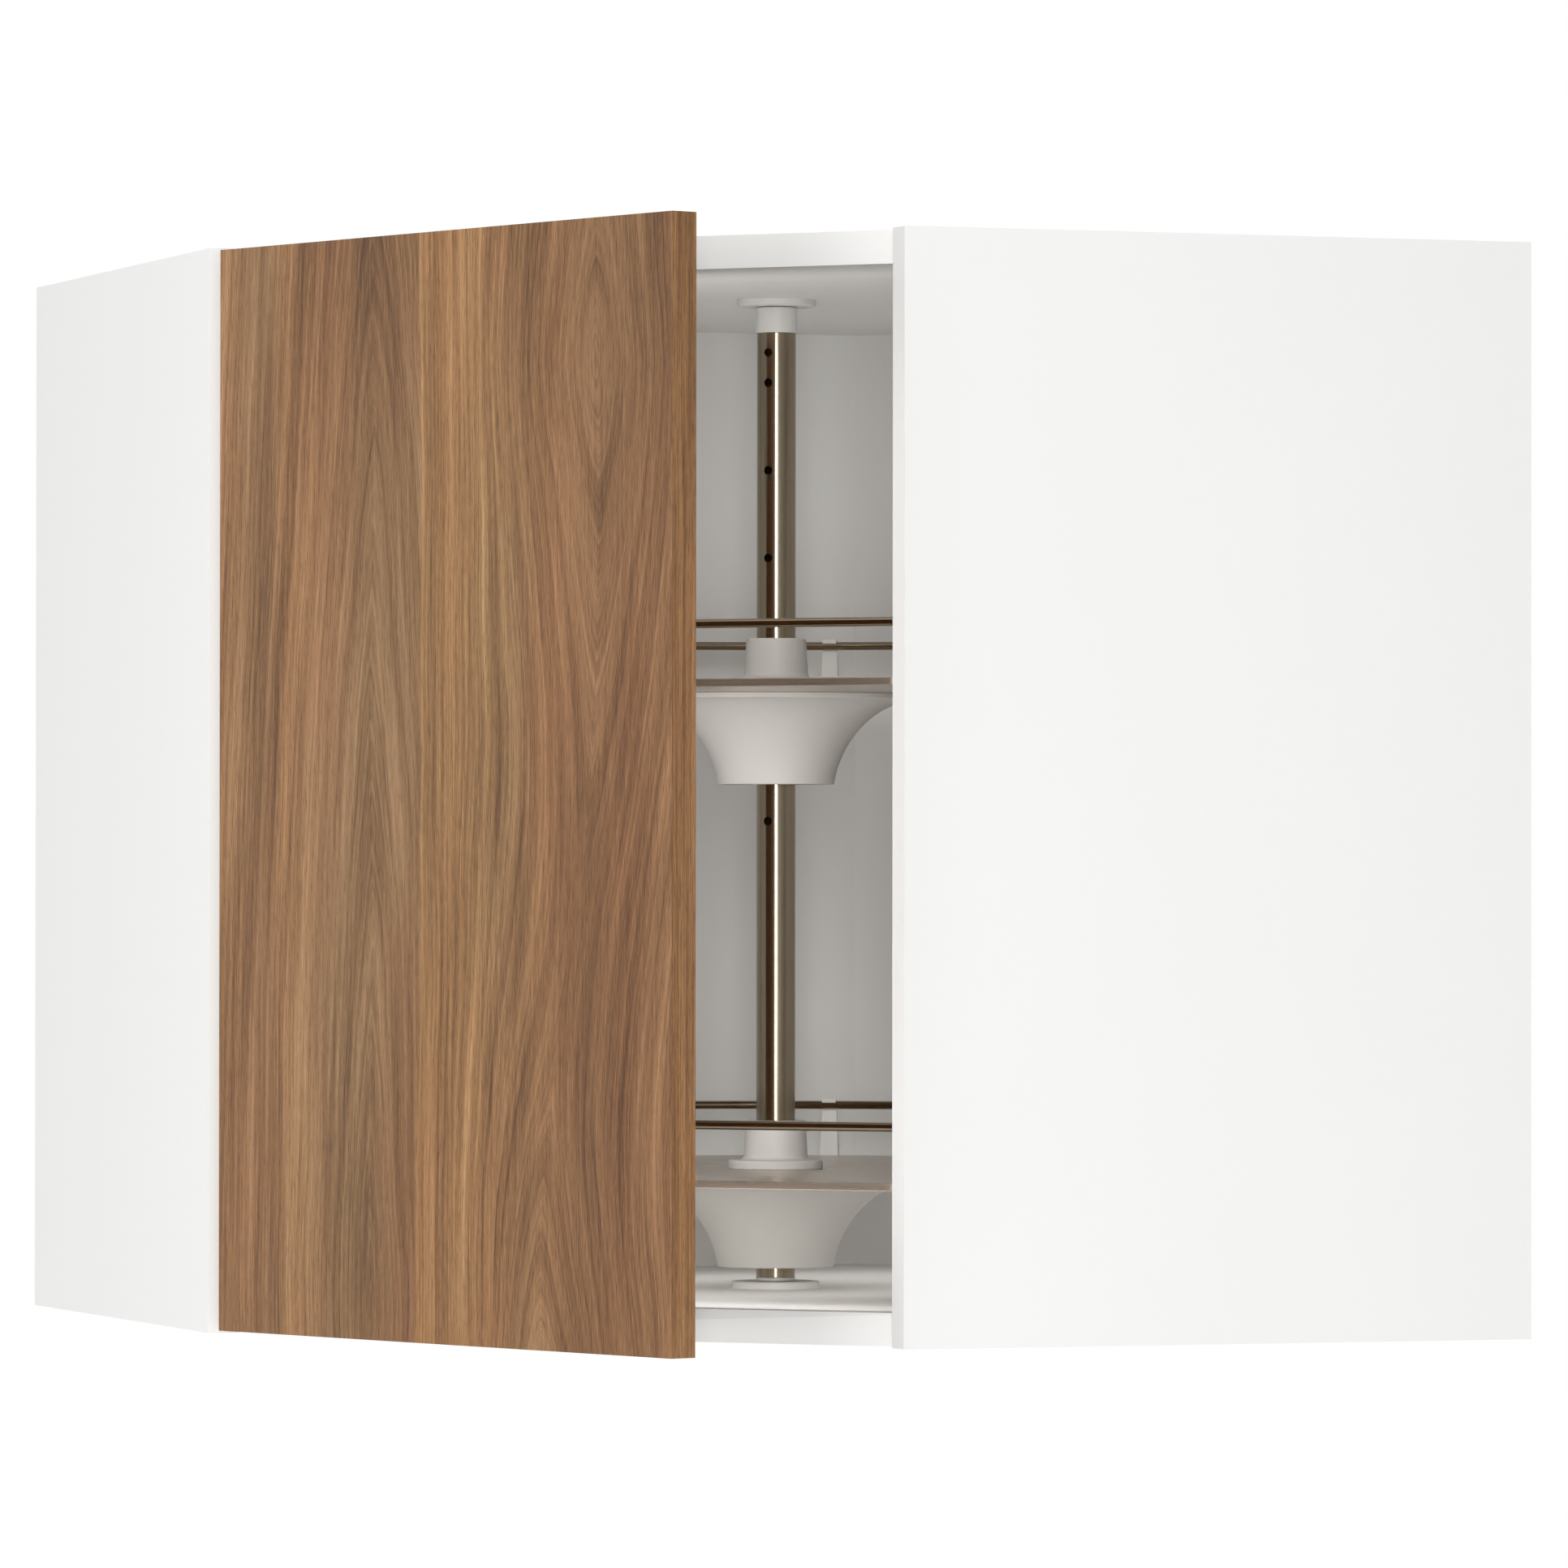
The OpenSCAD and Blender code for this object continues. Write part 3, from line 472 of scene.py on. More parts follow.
@dataclass(frozen=True)
class SatinMetal(Finish):
    """Brushed or satin metal with drawn-out streaks.

    Attributes:
        stretch: Streaks per metre along each axis; the brushing runs along the smallest.
        turn_deg: Turn of the brushing about the upright axis.
        tone: How far the colour changes from streak to streak.
        gloss_swing: How far the roughness changes.
        brush: Depth of the brushing in metres.
    """

    stretch: Point = (900.0, 900.0, 6.0)
    turn_deg: float = 0.0
    tone: float = 0.12
    gloss_swing: float = 0.02
    brush: float = 0.000006

    def dress(self, desk: Desk, shader: bpy.types.Node) -> None:
        """Adds the brushing to colour, roughness and relief.

        Args:
            desk: The material's desk.
            shader: The material's shader.
        """
        feeds = {"Vector": desk.place(), "Axis": (0.0, 0.0, 1.0), "Angle": math.radians(self.turn_deg)}
        brushed_place = desk.node("ShaderNodeVectorRotate", feeds).outputs[0]
        lines = use_group(desk, streak_group(), {"Place": brushed_place, "Stretch": self.stretch})
        value = lines.outputs["Value"]
        shade = desk.spread(value, 0.3, 0.7, 1.0 - self.tone, 1.0 + self.tone)
        desk.feed(shader.inputs["Base Color"], desk.mix(1.0, self.tint, shade, "MULTIPLY"))
        self.uneven_gloss(desk, shader, value, 0.3, 0.7, self.gloss_swing)
        self.bump(desk, shader, lines.outputs["Height"], self.brush, 0.5)


@dataclass(frozen=True)
class PlainTimber(Finish):
    """Raw straight-grained timber, for dowels."""

    dark: Colour = (0.42, 0.27, 0.15, 1.0)

    def dress(self, desk: Desk, shader: bpy.types.Node) -> None:
        """Adds straight fibres.

        Args:
            desk: The material's desk.
            shader: The material's shader.
        """
        fibres = use_group(desk, streak_group(), {"Place": desk.place(), "Stretch": (40.0, 900.0, 900.0)})
        tone = desk.spread(fibres.outputs["Value"], 0.3, 0.7)
        desk.feed(shader.inputs["Base Color"], desk.mix(tone, self.dark, self.tint))
        self.bump(desk, shader, fibres.outputs["Height"], 0.00005, 0.4)


@dataclass(frozen=True)
class WalnutFoil(Finish):
    """Walnut pattern of the door: two flat-cut leaves of grain side by side, with its edge band.

    Places are in metres from the door's hinge edge (x) and from its bottom (z).

    Attributes:
        corner: Foot of the outer hinge corner, with the door at rest.
        across: Direction from the hinge edge to the free edge.
        inward: Direction from the outer face to the inner one.
        width: Width of the door.
        joint: Where the two leaves meet.
        point: Power that draws the rings; under 2 they come to a point.
        arch_x: Heart line of the left leaf's arches.
        arch_z: Where the left leaf's heart comes to the surface.
        arch_rise: Depth that its heart gains for each metre up.
        eye_z: Middle of the eye in the right leaf.
        eye_span: Height from one eye to the next.
        eye_depth: How far the right leaf's heart swings in and out.
        lean_x: Heart line of the right leaf below and above its lean.
        lean_z: Heights between which that line leans over.
        plain_x: Line from which the plain strip beside the joint counts its rings.
        plain_fade: Where the plain strip passes into the eye's rings.
        contrast: How strongly the layers of grain add up.
        pore_depth: How far the pores are stained.
        relief: Depth of the embossed grain.
        dark: Tone of late wood and pores.
        mid: Middle tone.
        light: Tone of early wood.
        band: Tone of the edge band against the faces.
    """

    corner: Point = (-0.34795, -0.06050, 0.0)
    across: Point = (0.34202, -0.93969, 0.0)
    inward: Point = (0.93969, 0.34202, 0.0)
    width: float = 0.397
    joint: float = 0.1805
    point: float = 1.35
    arch_x: float = 0.139
    arch_z: float = 0.022
    arch_rise: float = 0.105
    eye_z: float = 0.522
    eye_span: float = 0.60
    eye_depth: float = 0.050
    lean_x: tuple[float, float] = (0.288, 0.333)
    lean_z: tuple[float, float] = (0.04, 0.36)
    plain_x: float = 0.345
    plain_fade: tuple[float, float] = (0.205, 0.275)
    contrast: float = 2.2
    pore_depth: float = 0.50
    relief: float = 0.00006
    dark: Colour = (0.078, 0.035, 0.015, 1.0)
    mid: Colour = (0.218, 0.111, 0.048, 1.0)
    light: Colour = (0.366, 0.204, 0.100, 1.0)
    band: Colour = (1.38, 1.42, 1.40, 1.0)

    def ring_at(self, desk: Desk, aside: Socket, depth: Socket) -> Socket:
        """Distance from the heart line, with the pointed rings of a flat-cut board."""
        powers = [desk.maths("POWER", desk.maths("ABSOLUTE", part), self.point)
                  for part in (aside, depth)]
        return desk.maths("POWER", desk.maths("ADD", *powers), 1 / self.point)

    def figure(self, desk: Desk, x: Socket, z: Socket) -> Socket:
        """Distance from the log's heart, cut by the board, whose steps are the growth rings.

        Args:
            desk: The material's desk.
            x: Metres from the hinge edge.
            z: Metres from the bottom.

        Returns:
            The distance in metres: arches left of the joint, an eye above arches right of it.
        """
        rise = desk.maths("MULTIPLY", desk.maths("SUBTRACT", z, self.arch_z), self.arch_rise)
        left = self.ring_at(desk, desk.maths("SUBTRACT", x, self.arch_x), rise)
        turn = desk.maths("MULTIPLY", desk.maths("SUBTRACT", z, self.eye_z), math.pi / self.eye_span)
        depth = desk.maths("MULTIPLY", desk.maths("SINE", turn), self.eye_depth)
        heart = desk.spread(z, *self.lean_z, *self.lean_x, True)
        right = self.ring_at(desk, desk.maths("SUBTRACT", x, heart), depth)
        plain = desk.maths("SUBTRACT", self.plain_x, x)
        right = desk.blend(desk.spread(x, *self.plain_fade, smooth=True), plain, right)
        return desk.blend(desk.maths("GREATER_THAN", x, self.joint), left, right)

    def rings(self, desk: Desk, field: Socket, z: Socket, pitch: float, drift: float,
              detail: float) -> Socket:
        """Uneven bands that follow the growth rings.

        Args:
            desk: The material's desk.
            field: Distance from the heart.
            z: Metres from the bottom.
            pitch: Bands per metre.
            drift: Changes per metre along the grain.
            detail: Finer bands inside each.

        Returns:
            The bands' tone.
        """
        feeds = {"X": desk.maths("MULTIPLY", field, pitch), "Y": desk.maths("MULTIPLY", z, drift)}
        place = desk.node("ShaderNodeCombineXYZ", feeds).outputs[0]
        return desk.noise(place, 1.0, detail, 0.6)

    def leaves(self, desk: Desk, x: Socket) -> Socket:
        """Tone of the strips across the door, with the step at the joint."""
        share = desk.maths("DIVIDE", x, self.width)
        return desk.ramp(share, (
            (0.0, (1.15, 1.17, 1.20, 1)), (0.11, (0.86, 0.88, 0.90, 1)),
            (0.16, (1.13, 1.15, 1.15, 1)), (0.25, (0.94, 0.95, 0.97, 1)),
            (0.447, (0.84, 0.84, 0.85, 1)), (0.456, (1.12, 1.14, 1.06, 1)),
            (0.57, (1.18, 1.19, 1.12, 1)), (0.68, (0.99, 0.98, 0.96, 1)),
            (0.86, (0.82, 0.79, 0.78, 1)), (1.0, (0.91, 0.90, 0.89, 1))), "EASE")

    def dress(self, desk: Desk, shader: bpy.types.Node) -> None:
        """Draws the grain on the door's faces and its edges.

        Args:
            desk: The material's desk.
            shader: The material's shader.
        """
        away = desk.vector("SUBTRACT", desk.place(), self.corner)
        along_door = desk.vector("DOT_PRODUCT", away, self.across)
        depth = desk.vector("DOT_PRODUCT", away, self.inward)
        up = desk.node("ShaderNodeSeparateXYZ", {"Vector": away}).outputs["Z"]
        flat = desk.node("ShaderNodeCombineXYZ", {"X": along_door, "Y": depth, "Z": up}).outputs[0]
        sway = desk.drawn_noise(flat, (7.0, 7.0, 3.4))
        ripple = desk.drawn_noise(flat, (40.0, 40.0, 11.0))
        shift = desk.maths("ADD", desk.swing(sway, 0.020), desk.swing(ripple, 0.004))
        x = desk.maths("ADD", along_door, shift)
        z = desk.maths("ADD", up, desk.swing(sway, 0.06))
        sideways = desk.maths("ABSOLUTE", desk.vector("DOT_PRODUCT", desk.facing(), self.across))
        edge = desk.maths("GREATER_THAN", sideways, 0.7)
        edge_field = desk.maths("ADD", desk.maths("MULTIPLY", depth, 3.0), shift)
        field = desk.blend(edge, self.figure(desk, x, z), edge_field)
        fibres = use_group(desk, streak_group(), {"Place": flat, "Stretch": (420.0, 420.0, 5.0)})
        hair = use_group(desk, streak_group(), {"Place": flat, "Stretch": (1250.0, 1250.0, 80.0)})
        layers = ((self.rings(desk, field, z, 75.0, 2.0, 1.0), 0.42),
                  (self.rings(desk, field, z, 320.0, 4.0, 4.0), 0.52),
                  (self.rings(desk, field, z, 1200.0, 9.0, 1.0), 0.32),
                  (fibres.outputs["Value"], 0.50),
                  (desk.drawn_noise(flat, (20.0, 20.0, 2.0), 2.0, 0.6), 0.42),
                  (hair.outputs["Value"], 0.52))
        tone: float | Socket = 0.5
        for layer, share in layers:
            tone = desk.maths("ADD", tone, desk.swing(layer, share * self.contrast))
        colour = desk.ramp(tone, ((0.0, self.dark), (0.5, self.mid), (1.0, self.light)))
        colour = desk.mix(1.0, colour, self.leaves(desk, x), "MULTIPLY")
        hue = desk.drawn_noise(flat, (13.0, 13.0, 1.6), 1.0)
        warmth = desk.ramp(hue, ((0.3, (1.06, 0.96, 0.92, 1)), (0.7, (0.96, 1.03, 1.03, 1))))
        colour = desk.mix(1.0, colour, warmth, "MULTIPLY")
        pores = desk.spread(hair.outputs["Value"], 0.46, 0.34)
        colour = desk.mix(desk.maths("MULTIPLY", pores, self.pore_depth), colour, self.dark)
        colour = desk.mix(edge, colour, desk.mix(1.0, colour, self.band, "MULTIPLY"))
        desk.feed(shader.inputs["Base Color"], colour)
        rough = desk.spread(tone, 0.2, 0.8, self.roughness + 0.06, self.roughness - 0.04)
        desk.feed(shader.inputs["Roughness"], rough)
        self.bump(desk, shader, desk.maths("SUBTRACT", tone, pores), self.relief, 0.5)


class Palette:
    """The finishes of the cabinet."""

    melamine = FacedBoard("white_melamine", (0.846, 0.846, 0.833, 1), 0.55)
    interior = FacedBoard("back_board_foil", (0.800, 0.795, 0.780, 1), 0.50)
    walnut = WalnutFoil("walnut_foil", (0.272, 0.141, 0.064, 1), 0.50, specular=0.25)
    nickel = SatinMetal("satin_nickel", (0.43, 0.365, 0.270, 1), 0.17, 1.0, gloss_swing=0.01)
    wire = SatinMetal("satin_nickel_wire", (0.33, 0.27, 0.195, 1), 0.09, 1.0,
                      stretch=(90.0, 90.0, 900.0), tone=0.03, gloss_swing=0.01)
    plate = SatinMetal("plated_steel", (0.66, 0.65, 0.63, 1), 0.25, 1.0, stretch=(220.0, 220.0, 220.0))
    shelf = SatinMetal("satin_shelf_sheet", (0.56, 0.49, 0.415, 1), 0.28, 0.85,
                       stretch=(5.0, 420.0, 420.0), turn_deg=45.0, tone=0.16)
    hub = Moulded("hub_plastic", (0.578, 0.557, 0.526, 1), 0.50)
    clip = Moulded("clip_plastic", (0.850, 0.830, 0.800, 1), 0.44)
    white = Moulded("white_plastic", (0.720, 0.705, 0.680, 1), 0.45)
    beech = PlainTimber("beech", (0.66, 0.48, 0.30, 1), 0.6)
    floor = FacedBoard("floor_white", (0.93, 0.93, 0.93, 1), 0.7)


# ---------- meshes ----------


def piece(name: str, mesh: bmesh.types.BMesh, finish: Finish,
          smooth_deg: float = SMOOTH_DEG) -> bpy.types.Object:
    """Turns a mesh into an object of the scene.

    Args:
        name: Name of the piece.
        mesh: Its shape, in the row's frame.
        finish: Its finish.
        smooth_deg: Faces that meet under a smaller angle are shaded as one.

    Returns:
        The new object.
    """
    bmesh.ops.recalc_face_normals(mesh, faces=mesh.faces)
    data = bpy.data.meshes.new(name)
    mesh.to_mesh(data)
    mesh.free()
    data.shade_smooth()
    data.set_sharp_from_angle(angle=math.radians(smooth_deg))
    data.materials.append(finish.material())
    made = bpy.data.objects.new(name, data)
    bpy.context.scene.collection.objects.link(made)
    return made


def join_loops(mesh: bmesh.types.BMesh, loops: Sequence[Sequence[bmesh.types.BMVert]]) -> None:
    """Joins each closed loop of points to the next one, and the last to the first.

    Args:
        mesh: The mesh that the loops are in.
        loops: Loops with as many points each.
    """
    for near, far in zip(loops, [*loops[1:], loops[0]]):
        for k in range(len(near)):
            m = (k + 1) % len(near)
            mesh.faces.new((near[k], far[k], far[m], near[m]))


def turned(mesh: bmesh.types.BMesh, profile: Sequence[tuple[float, float]],
           steps: int = 160) -> None:
    """Spins a closed profile about the carousel axis.

    Args:
        mesh: The mesh that is added to.
        profile: Radius and height of each point, in metres.
        steps: Steps round the axis.
    """
    rings = []
    for step in range(steps):
        angle = math.tau * step / steps
        c, s = math.cos(angle), math.sin(angle)
        rings.append([mesh.verts.new((r * c, r * s, z)) for r, z in profile])
    join_loops(mesh, rings)


def arc(centre: tuple[float, float], radius: float, start: float, end: float, steps: int
        ) -> list[tuple[float, float]]:
    """Points of a circular arc.

    Args:
        centre: Its centre.
        radius: Its radius.
        start: Angle of its first point, in degrees.
        end: Angle of its last point.
        steps: Steps between the two.

    Returns:
        The points in order.
    """
    made = []
    for step in range(steps + 1):
        angle = math.radians(start + (end - start) * step / steps)
        made.append((centre[0] + radius * math.cos(angle), centre[1] + radius * math.sin(angle)))
    return made


def slab(mesh: bmesh.types.BMesh, low: Vector, high: Vector, turn: Matrix) -> None:
    """Adds a rectangular block between two corners, turned about the axis.

    Args:
        mesh: The mesh that is added to.
        low: Its lowest corner.
        high: Its highest corner.
        turn: How it is turned.
    """
    corners = [mesh.verts.new(turn @ Vector((x, y, z))) for z in (low.z, high.z)
               for x, y in ((low.x, low.y), (high.x, low.y), (high.x, high.y), (low.x, high.y))]
    for face in ((0, 3, 2, 1), (4, 5, 6, 7), (0, 1, 5, 4), (1, 2, 6, 5), (2, 3, 7, 6), (3, 0, 4, 7)):
        mesh.faces.new([corners[i] for i in face])


@dataclass
class Outline:
    """Plan of a shelf or rail: round at the back, straight at the front.

    Attributes:
        radius: Radius of the round part.
        flat: Distance from the axis to the straight front.
        corner: Radius of the bends between the two.
    """

    radius: float
    flat: float
    corner: float

    @property
    def bend_centre(self) -> tuple[float, float]:
        """Centre of a bend: how far aside and how far towards the front."""
        ahead = self.flat - self.corner
        return math.sqrt((self.radius - self.corner) ** 2 - ahead ** 2), ahead

    @property
    def bend_angles(self) -> tuple[float, float]:
        """Angles off the front at which a bend starts and ends, in radians."""
        aside, ahead = self.bend_centre
        return math.atan2(aside, self.flat), math.atan2(aside, ahead)

    def reach(self, angle: float) -> tuple[float, float]:
        """Point of the outline in a direction.

        Args:
            angle: Direction from the axis in the diagonal frame, in radians.

        Returns:
            The x and y of the point, turned into the row's frame.
        """
        dx, dy = math.cos(angle), math.sin(angle)
        start, end = self.bend_angles
        off = abs(math.atan2(dx, -dy))
        if off >= end:
            r = self.radius
        elif off <= start:
            r = self.flat / -dy
        else:
            aside, ahead = self.bend_centre
            cx, cy = math.copysign(aside, dx), -ahead
            along = dx * cx + dy * cy
            r = along + math.sqrt(along * along - (cx * cx + cy * cy) + self.corner ** 2)
        x, y = r * dx, r * dy
        return (x + y) / math.sqrt(2), (y - x) / math.sqrt(2)

    def points(self, steps: int = 360, bend_steps: int = 24) -> list[Vector]:
        """Even directions round the outline, with more of them on the bends.

        Args:
            steps: Even directions round the axis.
            bend_steps: Further directions on each bend.

        Returns:
            The points in order round the axis.
        """
        start, end = self.bend_angles
        front = 1.5 * math.pi
        angles = {round(math.tau * k / steps, 6) for k in range(steps)}
        for side in (-1, 1):
            for k in range(bend_steps + 1):
                off = start + (end - start) * k / bend_steps
                angles.add(round((front + side * off) % math.tau, 6))
        return [Vector((*self.reach(a), 0.0)) for a in sorted(angles)]


# ---------- sub-assemblies ----------


def dress_nodes(finish: Finish, names: Iterable[str], round_mm: float = 0.0) -> None:
    """Gives solids from the frame their finish and softened arrises.

    Args:
        finish: The finish.
        names: The nodes.
        round_mm: Width of the softened edges; none when 0.
    """
    for name in names:
        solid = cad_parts[name]
        for holder in solid.material_slots:
            holder.material = finish.material()
        if not solid.material_slots:
            solid.data.materials.append(finish.material())
        if round_mm:
            weld = solid.modifiers.new("weld", "WELD")
            weld.merge_threshold = WELD_REACH
            soft = solid.modifiers.new("soft_arris", "BEVEL")
            soft.width = round_mm * MM
            soft.segments = ARRIS_STEPS
            soft.limit_method = "ANGLE"
            soft.angle_limit = math.radians(ARRIS_DEG)
            soft.harden_normals = True
        LOG.info("dressed %s as %s", name, finish.name)


@dataclass
class Carcass:
    """Boards, hidden fittings and bearings of the cabinet."""

    arris_mm: float = 0.5

    def build(self) -> None:
        """Dresses the boards and their fittings."""
        boards = ("left_side_panel", "right_side_panel", "top_panel", "bottom_panel")
        dress_nodes(Palette.melamine, boards, self.arris_mm)
        dress_nodes(Palette.interior, ("rear_back_panel", "right_back_panel", "corner_back_panel"))
        dress_nodes(Palette.beech, ("wood_dowels",))
        dress_nodes(Palette.plate, ("cam_locks", "cam_bolts", "hanger_hooks", "flange_screws"))
        dress_nodes(Palette.white, ("hanger_housings", "top_bearing_flange", "bottom_bearing_flange"))


@dataclass
class Door:
    """Door leaf and its concealed hinges."""

    arris_mm: float = 0.5

    def build(self) -> None:
        """Dresses the leaf and the hinges."""
        dress_nodes(Palette.walnut, ("door_panel",), self.arris_mm)
        dress_nodes(Palette.plate, ("hinge_cups", "hinge_cup_screws", "hinge_pins", "hinge_arms",
                                    "hinge_plates", "hinge_plate_screws", "arm_screws"))


@dataclass
class Carousel:
    """Pole, shelves, hubs and rails, which turn together. All sizes are in millimetres."""

    body: str = "carousel"
    fit: float = 0.05
    # sheets
    shelf_r: float = 274.0
    shelf_flat: float = 212.0
    shelf_corner: float = 16.0
    shelf_t: float = 4.5
    rim: float = 0.7
    # pole
    pole_r: float = 11.1
    pole_wall: float = 1.2
    pole_soft: float = 0.25
    pole_row: float = 4.0
    hole_r: float = 2.5
    hole_zs: tuple[float, ...] = (59.3, 284.3, 334.3, 384.3, 434.3, 484.3, 534.3, 551.6)
    hole_turn_deg: float = 45.0
    # rails
    wire_r: float = 2.5
    wire_sides: int = 20
    rail_h: float = 30.2
    rail_inset: float = 6.0
    # trumpet hubs
    sleeve_r: float = 14.0
    sleeve_drop: float = 4.0
    cone_h: float = 51.2
    foot_r: float = 33.2
    flange_r: float = 84.0
    flange_t: float = 3.0
    flange_lap: float = 10.0
    wall: float = 2.5
    wall_taper: float = 0.03
    flare: float = 43.0
    draft: float = 0.13
    foot_soft: float = 0.6
    hub_soft: float = 0.4
    rib_count: int = 6
    rib_turn_deg: float = 15.0
    rib_half: float = 0.9
    rib_inset: float = 1.2
    rib_zs: tuple[float, ...] = (1.2, 16.0, 32.0, 44.0)
    # collars
    collar_h: float = 27.6
    collar_r: float = 17.1
    collar_draft: float = 1.1
    collar_flange_r: float = 26.9
    collar_flange_t: float = 5.2
    collar_fillet: float = 3.0
    collar_round: float = 0.9
    collar_flange_round: float = 1.5
    collar_top_t: float = 3.5

    def build(self) -> None:
        """Dresses the pole and builds both levels."""
        self.keep(self.pole(), "pole")
        dress_nodes(Palette.white, ("pole_top_cap", "pole_foot_plug"))
        dress_nodes(Palette.plate, ("shelf_locking_pins",))
        for level in Level:
            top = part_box(f"{level.value}_shelf")[1][2]
            dress_nodes(Palette.clip, (f"{level.value}_rail_posts",))
            self.keep(self.shelf(level, top), f"{level.value}_shelf")
            self.keep(self.hub(level, top), f"{level.value}_trumpet_hub")
            self.keep(self.collar(level, top), f"{level.value}_collar")
            self.keep(self.rail(level, top), f"{level.value}_rail")

    def keep(self, made: bpy.types.Object, node: str) -> None:
        """Lets a piece stand for its solid and turn with the carousel.

        Args:
            made: The piece.
            node: The solid that it stands for.
        """
        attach(made, self.body)
        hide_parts(node)
        LOG.info("built %s", made.name)

    def pole(self) -> bpy.types.Object:
        """Tube with its row of cross holes.

        Returns:
            The new piece.
        """
        low, high = (corner[2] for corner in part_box("pole"))
        skin, bore, soft = self.pole_r * MM, (self.pole_r - self.pole_wall) * MM, self.pole_soft * MM
        rows = round((high - low) / (self.pole_row * MM))
        side = [(skin, low + soft + (high - low - 2 * soft) * k / rows) for k in range(rows + 1)]
        ends = [(skin - soft, high), (bore, high)]
        mesh = bmesh.new()
        turned(mesh, [(bore, low), (skin - soft, low)] + side + ends, 96)
        made = piece("pole_tube", mesh, Palette.nickel)
        cutter = self.drill(4 * skin)
        holes = made.modifiers.new("holes", "BOOLEAN")
        holes.object, holes.operation, holes.solver = cutter, "DIFFERENCE", "EXACT"
        bpy.context.view_layer.update()
        cut = made.evaluated_get(bpy.context.evaluated_depsgraph_get())
        drilled = bpy.data.meshes.new_from_object(cut)
        made.modifiers.clear()
        made.data = drilled
        bpy.data.objects.remove(cutter)
        drilled.set_sharp_from_angle(angle=math.radians(SMOOTH_DEG))
        return made

    def drill(self, length: float) -> bpy.types.Object:
        """Cylinders along the diagonal that cut the pole's holes.

        Args:
            length: Length of the cylinders, in metres.

        Returns:
            The cylinders as one object.
        """
        mesh = bmesh.new()
        across = (Matrix.Rotation(math.radians(self.hole_turn_deg), 4, "Z")
                  @ Matrix.Rotation(math.pi / 2, 4, "Y"))
        radius = self.hole_r * MM
        for z in self.hole_zs:
            bmesh.ops.create_cone(mesh, cap_ends=True, segments=40, radius1=radius, radius2=radius,
                                  depth=length, matrix=Matrix.Translation((0, 0, z * MM)) @ across)
        return piece("pole_drill", mesh, Palette.nickel)

    def shelf(self, level: Level, top: float) -> bpy.types.Object:
        """Shelf sheet with a rolled rim and the hole for the hub.

        Args:
            level: Which of the two levels.
            top: Height of the shelf's upper face, in metres.

        Returns:
            The new piece.
        """
        mesh = bmesh.new()
        edge = Outline(self.shelf_r * MM, self.shelf_flat * MM, self.shelf_corner * MM).points()
        t, rim = self.shelf_t * MM, self.rim * MM
        hole = (self.sleeve_r + self.fit) * MM
        section = [(-rim, 0.0)] + [(x - rim, z) for x, z in arc((0.0, -rim), rim, 75, 0, 4)]
        section += [(x - rim, z) for x, z in arc((0.0, rim - t), rim, 0, -75, 4)] + [(-rim, -t)]
        loops = [[p * (1 + inset / p.length) + Vector((0, 0, top + z)) for p in edge]
                 for inset, z in section]
        upper, lower = ([p.normalized() * hole + Vector((0, 0, top + z)) for p in edge]
                        for z in (0.0, -t))
        join_loops(mesh, [[mesh.verts.new(p) for p in loop] for loop in (upper, *loops, lower)])
        return piece(f"{level.value}_shelf_sheet", mesh, Palette.shelf)

    def trumpet(self, z: float) -> float:
        """Outer radius of the trumpet at a height above its foot."""
        share = min(z / (self.cone_h - self.flange_t), 1.0)
        return self.foot_r + self.draft * z + self.flare * (1 - math.sqrt(1 - share * share))

    def hub(self, level: Level, top: float) -> bpy.types.Object:
        """Trumpet hub under a shelf: shell, tube and ribs.

        Args:
            level: Which of the two levels.
            top: Height of the shelf's upper face, in metres.

        Returns:
            The new piece.
        """
        mesh = bmesh.new()
        foot = top - (self.shelf_t + self.cone_h) * MM
        flare_h = self.cone_h - self.flange_t
        heights = [flare_h * math.sin(math.pi / 2 * k / 48) for k in range(49)]
        heights = [h for h in heights if h > self.foot_soft]
        rim = self.cone_h - self.fit
        outer = [(self.foot_r - self.foot_soft, 0.0), (self.foot_r - 0.15, 0.15)]
        outer += [(self.trumpet(h), h) for h in heights]
        outer += [(self.flange_r - self.hub_soft, flare_h), (self.flange_r, flare_h + self.hub_soft),
                  (self.flange_r, self.cone_h - 0.3), (self.flange_r - 0.3, rim)]
        inner = [(self.foot_r - self.wall, 0.0)]
        inner += [(self.trumpet(h) - self.wall - self.wall_taper * h, h)
                  for h in heights if h < flare_h - self.wall]
        inner += [(self.flange_r - self.flange_lap, rim)]
        turned(mesh, [(r * MM, foot + z * MM) for r, z in outer + inner[::-1]])
        high = top + (self.collar_h - self.sleeve_drop) * MM
        bore, skin = (self.pole_r + self.fit) * MM, self.sleeve_r * MM
        turned(mesh, [(bore, foot), (skin, foot), (skin, high), (bore, high)], 64)
        for k in range(self.rib_count):
            turn = Matrix.Rotation(math.radians(self.rib_turn_deg + 360 * k / self.rib_count), 4, "Z")
            for low, up in zip(self.rib_zs, self.rib_zs[1:]):
                reach = self.trumpet(low) - self.rib_inset
                slab(mesh, Vector((skin - MM, -self.rib_half * MM, foot + low * MM)),
                     Vector((reach * MM, self.rib_half * MM, foot + up * MM)), turn)
        return piece(f"{level.value}_trumpet", mesh, Palette.hub)

